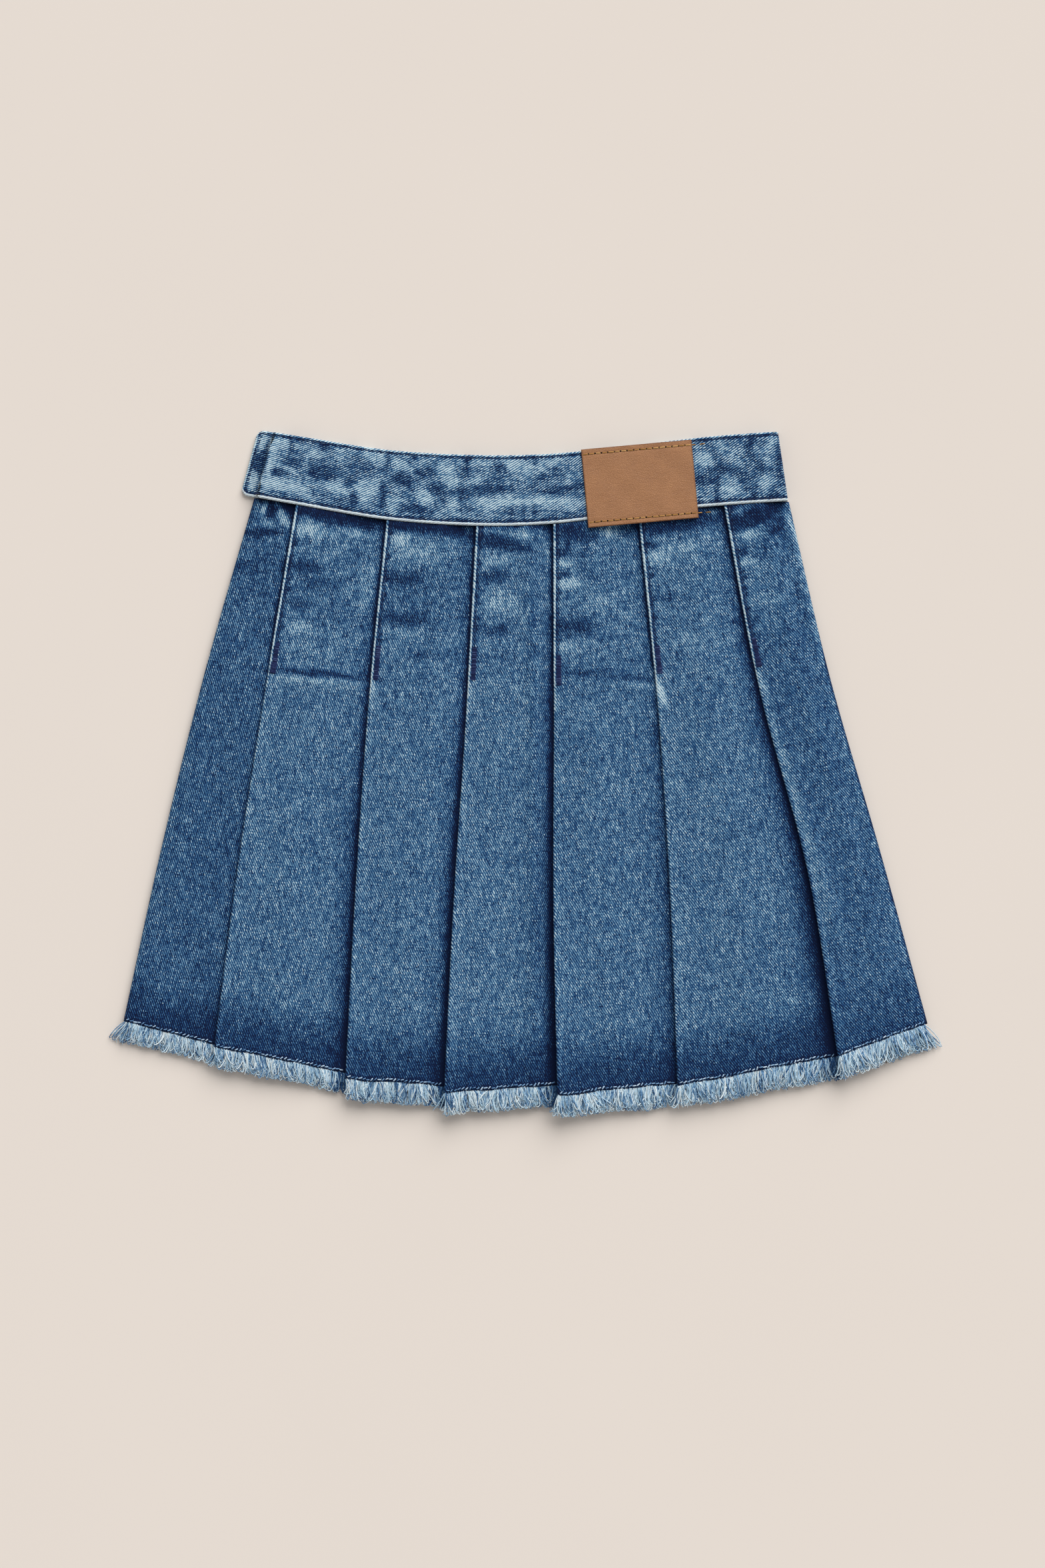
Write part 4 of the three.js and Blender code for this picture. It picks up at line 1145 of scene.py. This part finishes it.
# Thread shapes, ten millimetres long down -Y: two handles and the tip
threadShapes = (
    ((0.9, -3.2, 0.4), (-1.4, -7.0, 0.3), (0.6, -10.0, 0.0)),
    ((-1.1, -3.0, 0.2), (1.2, -6.5, 0.6), (-0.7, -9.8, 0.1)),
    ((0.2, -4.0, 0.5), (2.0, -8.4, 0.2), (2.6, -9.4, 0.1)),
    ((-0.3, -4.2, 0.3), (-2.2, -8.0, 0.3), (-2.4, -9.3, 0.0)),
    ((-1.2, -5.0, 0.6), (3.2, -12.6, 0.9), (2.6, -7.6, 0.6)),
    ((1.5, -5.2, 0.5), (-3.0, -12.2, 0.8), (-2.8, -7.8, 0.5)),
    ((1.9, -2.6, 0.7), (-2.6, -5.6, 0.9), (1.8, -9.0, 0.2)),
    ((-1.6, -4.6, 0.8), (0.2, -12.4, 1.2), (2.2, -8.6, 0.9)),
    ((2.2, -4.4, 0.4), (1.6, -11.6, 1.0), (-1.2, -9.0, 0.4)),
)


def fringeThreads(tree, start):
    seed, spread = start["Seed"], start["Scatter"]
    offset = vectorOf(tree, times(tree, chance(tree, -1, 1, seed, 1), spread),
                      times(tree, chance(tree, -0.3, 1, seed, 2), spread),
                      times(tree, chance(tree, -1, 1, seed, 3), times(tree, spread, 0.9)))
    inputs = {"Geometry": spacedAlong(tree, start["Geometry"], start["Spacing"]), "Offset": offset}
    points = put(tree, "GeometryNodeSetPosition", inputs).outputs[0]
    share = put(tree, "GeometryNodeSplineParameter").outputs["Factor"]
    inputs = {"Value": share, "From Min": 0.35, "To Min": 1.0, "To Max": 0.5}
    taper = put(tree, "ShaderNodeMapRange", inputs).outputs[0]
    joined = put(tree, "GeometryNodeJoinGeometry")
    for one, two, tip in threadShapes:
        inputs = {"Resolution": 6, "Start": (0, 0, 0)}
        for key, place in (("Start Handle", one), ("End Handle", two), ("End", tip)):
            inputs[key] = tuple(c * mm for c in place)
        shape = put(tree, "GeometryNodeCurvePrimitiveBezierSegment", inputs)
        tube = tubeAlong(tree, shape, start["Thread radius"], 3, taper)
        single = put(tree, "GeometryNodeGeometryToInstance", {0: tube})
        tree.links.new(single.outputs[0], joined.inputs[0])
    reach, lean, droop, dim = (
        put(tree, "GeometryNodeInputNamedAttribute", {"Name": name}, data_type="FLOAT").outputs[0]
        for name in ("reach", "lean", "droop", "dim"))
    pick = put(tree, "FunctionNodeRandomValue", {4: 0, 5: len(threadShapes) - 1, 8: seed}, data_type="INT")
    wide = chance(tree, 0.75, 1.3, seed, 4)
    # Two random numbers multiplied favour full lengths with a few short threads
    short = times(tree, chance(tree, 0, 1, seed, 5), chance(tree, 0, 1, seed, 6))
    here = put(tree, "GeometryNodeInputPosition").outputs[0]
    tuft, bunch = noise(tree, here, 170.0, 2.0), noise(tree, here, 60.0, 2.0, 0.5, (1, 1, 4))
    long = total(tree, 1.12, (-0.50, short), (0.35, bunch))
    scale = vectorOf(tree, wide, times(tree, long, times(tree, reach, 0.1)), wide)
    turn = vectorOf(tree, total(tree, droop, (0.06, chance(tree, -1, 1, seed, 7))),
                    chance(tree, -0.45, 0.45, seed, 8),
                    total(tree, lean, (start["Stray"], chance(tree, -1, 1, seed, 9)), (1.6, tuft)))
    inputs = {"Points": points, "Instance": joined.outputs[0], "Pick Instance": True,
              "Instance Index": pick.outputs[2], "Scale": scale,
              "Rotation": put(tree, "FunctionNodeEulerToRotation", {0: turn}).outputs[0]}
    grown = put(tree, "GeometryNodeInstanceOnPoints", inputs).outputs[0]
    # The yarn's tone, darkened by painted shade below the pleat edges
    shade = total(tree, chance(tree, 0.05, 1.05, seed, 10), (-1.0, dim), (0.3, tuft))
    return finishInstances(tree, grown, shade, start["Material"])


def stitchRow(tree, start):
    seed, rise = start["Seed"], start["Rise"]
    points = spacedAlong(tree, start["Geometry"], start["Pitch"])
    reach = times(tree, start["Length"], 0.5)
    back, low = times(tree, reach, -1.0), times(tree, rise, -1.0)
    shape = put(tree, "GeometryNodeCurvePrimitiveBezierSegment", {
        "Resolution": 4,
        "Start": vectorOf(tree, back, 0.0, low),
        "Start Handle": vectorOf(tree, times(tree, back, 0.8), 0.0, rise),
        "End Handle": vectorOf(tree, times(tree, reach, 0.8), 0.0, rise),
        "End": vectorOf(tree, reach, 0.0, low)})
    tube = tubeAlong(tree, shape, start["Thread radius"], 5, 1.0)
    tangent = put(tree, "GeometryNodeInputTangent").outputs[0]
    facing = put(tree, "FunctionNodeAlignRotationToVector", {"Vector": tangent}, axis="X", pivot_axis="Z")
    turn = total(tree, start["Turn"], (start["Stray"], chance(tree, -1, 1, seed, 1)))
    skew = vectorOf(tree, 0.0, 0.0, turn)
    inputs = {"Rotation": facing.outputs[0],
              "Rotate By": put(tree, "FunctionNodeEulerToRotation", {0: skew}).outputs[0]}
    turned = put(tree, "FunctionNodeRotateRotation", inputs, rotation_space="LOCAL").outputs[0]
    size = chance(tree, 0.85, 1.12, seed, 2)
    inputs = {"Points": points, "Instance": tube, "Rotation": turned,
              "Scale": vectorOf(tree, size, size, size)}
    grown = put(tree, "GeometryNodeInstanceOnPoints", inputs).outputs[0]
    return finishInstances(tree, grown, chance(tree, 0.25, 0.85, seed, 3), start["Material"])


fringeInputs = {"Spacing": 0.0002, "Thread radius": 0.0003, "Scatter": 0.0004, "Stray": 0.25, "Seed": 1}
fringeTree = geometryTree("fringeThreads", fringeInputs, fringeThreads)
stitchInputs = {"Pitch": 0.003, "Length": 0.002, "Thread radius": 0.0003, "Rise": 0.0003, "Turn": 0.0,
                "Stray": 0.05, "Seed": 1}
stitchTree = geometryTree("stitchRow", stitchInputs, stitchRow)


def grow(name, tree, paths, material, values, attributes=None):  # paths are lists of points in millimetres
    points, edges = [], []
    for path in paths:
        edges += [(len(points) + i, len(points) + i + 1) for i in range(len(path) - 1)]
        points += [tuple(c * mm for c in point) for point in path]
    mesh = bpy.data.meshes.new(name)
    mesh.from_pydata(points, edges, [])
    for label, column in (attributes or {}).items():
        data = mesh.attributes.new(label, "FLOAT", "POINT").data
        data.foreach_set("value", np.array(column, np.float32))
    piece = addPiece(name, mesh)
    modifier = piece.modifiers.new("grow", "NODES")
    modifier.node_group = tree
    values = dict(values, Material=material)
    for item in tree.interface.items_tree:
        if item.item_type == "SOCKET" and item.in_out == "INPUT" and item.name in values:
            modifier[item.identifier] = values[item.name]
    depsgraph = bpy.context.evaluated_depsgraph_get()
    result = bpy.data.meshes.new_from_object(piece.evaluated_get(depsgraph))
    piece.modifiers.remove(modifier)
    piece.data = result
    result.name = name
    if not result.materials:
        result.materials.append(material)
    print(name, len(result.polygons), "faces")
    return piece


# Frayed hem
fringe = {
    "atLeft": 10.2,  # length of the threads
    "atRight": 12.6,
    "sideSplay": 8.0,
    "splayReach": 8.0,
    "backDroop": 2.5,
    "frontTipZ": 0.6,
    "radius": 0.36,
    "scatter": 0.45,
    "stray": 0.32,
    "backSpacing": 0.125,
    "frontSpacing": 0.40,
}


def hemPaths(side):
    paths, reaches, leans, droops, dims = [], [], [], [], []
    one = np.array([1.0])
    for p in range(panelCount):
        panel = panelAt(side, p, one)
        width = float(panel["width"][0])
        low = sideBend * 0.3 if p == 0 else 0.4
        high = width - sideBend * 0.3 if panel["last"] else width + 1.0
        path = []
        for w in np.linspace(low, high, max(8, int((high - low) / 1.2))):
            x = float(panel["startX"][0]) + side["way"] * w
            z = side["base"] + side["way"] * float(panelHeight(side, p, np.array([w]), one, panel)[0])
            y = float(hemHeight(side, p, w / width))
            length = between(fringe["atLeft"], fringe["atRight"], x / (2 * line["hemX"][-1]) + 0.5)
            fromSide = w if p == 0 else width - w if panel["last"] else 10 * farAway
            splay = math.exp(-fromSide / fringe["splayReach"]) * fringe["sideSplay"]
            tipX = splay if x > 0 else -splay
            tipZ = z - fringe["backDroop"] if side["way"] > 0 else fringe["frontTipZ"]
            path.append((x, y, z))
            reaches.append(math.hypot(length, tipX) * 0.98)
            leans.append(math.atan2(tipX, length))
            droops.append(math.atan2(z - tipZ, length))
            # Painted shade on the fringe below each pleat edge
            depth, core = footShade[p + 1][0], footShade[p + 1][4]
            dims.append(1.5 * depth * math.exp(-(max(0.0, width - w) / (core + 2.0)) ** 2))
        paths.append(path)
    return paths, {"reach": reaches, "lean": leans, "droop": droops, "dim": dims}


def growFringe(name, side, spacing, seed):
    paths, columns = hemPaths(side)
    values = {"Spacing": spacing * mm, "Thread radius": fringe["radius"] * mm,
              "Scatter": fringe["scatter"] * mm, "Stray": fringe["stray"], "Seed": seed}
    return grow(name, fringeTree, paths, threads["frayedYarn"], values, columns)


print("fringe")
fringeBack = growFringe("fringeBack", backHalf, fringe["backSpacing"], 3)
fringeFront = growFringe("fringeFront", frontHalf, fringe["frontSpacing"], 8)

# Sewing
print("sewing")
backTop = surfaceOf(skirtBack)
bandTop = surfaceOf(bandBack, bandFront)
patchTop = surfaceOf(leatherPatch)

stitchKinds = {  # thread, pitch, length, radius, rise, turn, stray and seed
    "patchStitches": ("tanThread", stitchStep, 2.7, 0.32, 0.26, 0.0, 0.07, 5),
    "hemStitches": ("paleThread", 2.0, 1.5, 0.36, 0.25, 0.5, 0.5, 6),
    "barTacks": ("tackThread", 0.42, 3.3, 0.26, 0.3, math.pi / 2, 0.12, 7),
    "pleatStitches": ("navyThread", 2.6, 1.9, 0.2, 0.18, 0.0, 0.08, 8),
    "bandStitches": ("navyThread", 2.6, 1.9, 0.2, 0.18, 0.0, 0.06, 9),
    "tabStitches": ("navyThread", 2.6, 1.9, 0.2, 0.18, 0.0, 0.06, 10),
}


def stitches(name, paths):
    thread, pitch, length, radius, rise, turn, stray, seed = stitchKinds[name]
    values = {"Pitch": pitch * mm, "Length": length * mm, "Thread radius": radius * mm, "Rise": rise * mm,
              "Turn": turn, "Stray": stray, "Seed": seed}
    return grow(name, stitchTree, paths, threads[thread], values)


def onTop(heightAt, points, lift=0.1):
    return [(x, y, heightAt(x, y) + lift) for x, y in points]


rowSpan = np.linspace(-1, 1, 40) * (patch["width"] / 2 - patch["rowEnd"])
tailSpan = np.linspace(*(patch["width"] / 2 + out for out in patch["tail"]), 8)
aroundPatch = surfaceOf(bandBack, skirtBack)
patchRows = [onTop(heightAt, [patchPlan(across, sign * rowUp) for across in span], lift)
             for heightAt, span, lift in ((patchTop, rowSpan, 0.10), (aroundPatch, tailSpan, 0.25))
             for sign in (1, -1)]
patchStitches = stitches("patchStitches", patchRows)
patchHoles = needleHoles("patchHoles")

hemRows = []
for p in range(panelCount):
    span = panelAt(backHalf, p, np.array([1.0]))
    width, startX = float(span["width"][0]), float(span["startX"][0])
    row = []
    for w in np.linspace(2.0, width - 2.2, max(8, int(width / 2))):
        above = 1.3 + 0.25 * math.sin(w * 0.9)
        row.append((startX + w, float(hemHeight(backHalf, p, w / width)) + above))
    hemRows.append(onTop(backTop, row, 0.08))
hemStitches = stitches("hemStitches", hemRows)

# Rows of the photo's pixels at which the bar tack on each pleat edge starts and ends
tackRows = {1: (965, 1010), 2: (970, 1020), 3: (972, 1020), 4: (985, 1028), 5: (970, 1010), 6: (958, 1000)}


def photoY(row):
    return (photoCentre[1] - row) * pixel


def edgeX(i, y):
    ys = np.linspace(0, 1, 101)
    heights = between(np.interp(lineX(i, 0.0), seamX, seamY) - gap, line["hemY"][i], ys)
    return float(np.interp(-y, -heights, lineX(i, ys)))


tackPaths, edgeRows = [], []
for i, (topRow, lowRow) in tackRows.items():
    ys = np.linspace(photoY(topRow), photoY(lowRow), 12)
    tackPaths.append(onTop(backTop, [(edgeX(i, y) + 2.6, y) for y in ys], 0.12))
    start = np.interp(lineX(i, 0.0), seamX, seamY) - 2.0
    ys = np.linspace(start, photoY(topRow) + 1, 40)
    edgeRows.append(onTop(backTop, [(edgeX(i, y) + 2.5, y) for y in ys], 0.05))
barTacks = stitches("barTacks", tackPaths)
pleatStitches = stitches("pleatStitches", edgeRows)


def bandRow(places):  # places are line numbers, shares of the height and distances past the line
    return onTop(bandTop, [tuple(float(c) for c in bandPoint(*place)) for place in places], 0.06)


numbers = np.linspace(0.08, panelCount - 0.08, 220)
bandRows = [bandRow([(number, 2.1 / bandHeightAt(number)) for number in numbers]),
            bandRow([(number, 1 - 1.7 / bandHeightAt(number)) for number in numbers])]
bandStitches = stitches("bandStitches", bandRows)
tabPlaces = ((0.05, -0.8), (0.05, -3.4), (0.1, -5.4), (0.5, -6.1), (0.9, -5.4), (0.955, -3.4), (0.955, -0.8))
tabStitches = stitches("tabStitches", [bandRow([(0, share, out) for share, out in tabPlaces])])

# Floor, light and camera
print("light and camera")
board = {"reach": 6.0, "height": -0.0003}  # in metres
floorMesh = bpy.data.meshes.new("floor")
floorCorners = [(x * board["reach"], y * board["reach"], board["height"])
                for x, y in ((-1, -1), (1, -1), (1, 1), (-1, 1))]
floorMesh.from_pydata(floorCorners, [], [(0, 1, 2, 3)])
floorMesh.materials.append(floorMaterial())
floorPiece = addPiece("floor", floorMesh)

light = {
    "from": (0.40, 0.90, 0.80),
    "strength": 2.95,
    "softness": 52.0,
    "colour": (1.0, 0.992, 0.98),
    "around": 0.41,
}
lamp = bpy.data.lights.new("softSun", "SUN")
lamp.energy, lamp.angle, lamp.color = light["strength"], math.radians(light["softness"]), light["colour"]
holder = bpy.data.objects.new("softSun", lamp)
holder.rotation_euler = (-Vector(light["from"])).to_track_quat("-Z", "Y").to_euler()
scene.collection.objects.link(holder)
world = bpy.data.worlds.new("studio")
world.use_nodes = True
background = world.node_tree.nodes["Background"]
background.inputs[0].default_value = (1.0, 1.0, 1.0, 1.0)
background.inputs[1].default_value = light["around"]
scene.world = world
scene.view_settings.view_transform = "Standard"
scene.cycles.denoising_prefilter = "NONE"  # keeps the weave

view = {"x": -1.4, "y": -5.6, "height": 2286.7, "lens": 100.0}
cameraData = bpy.data.cameras.new("camera")
cameraData.lens = view["lens"]
cameraData.sensor_fit = "VERTICAL"
cameraData.sensor_height = 36.0
camera = bpy.data.objects.new("camera", cameraData)
camera.location = (view["x"] * mm, view["y"] * mm, view["height"] * mm)
scene.collection.objects.link(camera)
scene.camera = camera

# Which body each piece rides on, what it stands for and its finish
print("declaring")
fringeNodes = {part: [f"frayed_hem_{part}_{p + 1}" for p in range(panelCount)] for part in ("back", "front")}
pieces = (
    (skirtBack, "denim", ["skirt_back"]),
    (skirtFront, "denim", ["skirt_front"]),
    (bandBack, "waistband_denim", ["waistband_back"]),
    (bandFront, "waistband_denim", ["waistband_front_tab"]),
    (leatherPatch, "patch_leather", ["leather_patch"]),
    (fringeBack, "frayed_yarn", fringeNodes["back"]),
    (fringeFront, "frayed_yarn", fringeNodes["front"]),
    (patchStitches, "patch_leather", []),
    (patchHoles, "patch_leather", []),
    (hemStitches, "frayed_yarn", []),
    (barTacks, "denim", []),
    (pleatStitches, "denim", []),
    (bandStitches, "waistband_denim", []),
    (tabStitches, "waistband_denim", []),
)
for piece, slot, nodes in pieces:
    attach(piece, "root")
    if nodes:
        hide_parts(*nodes)
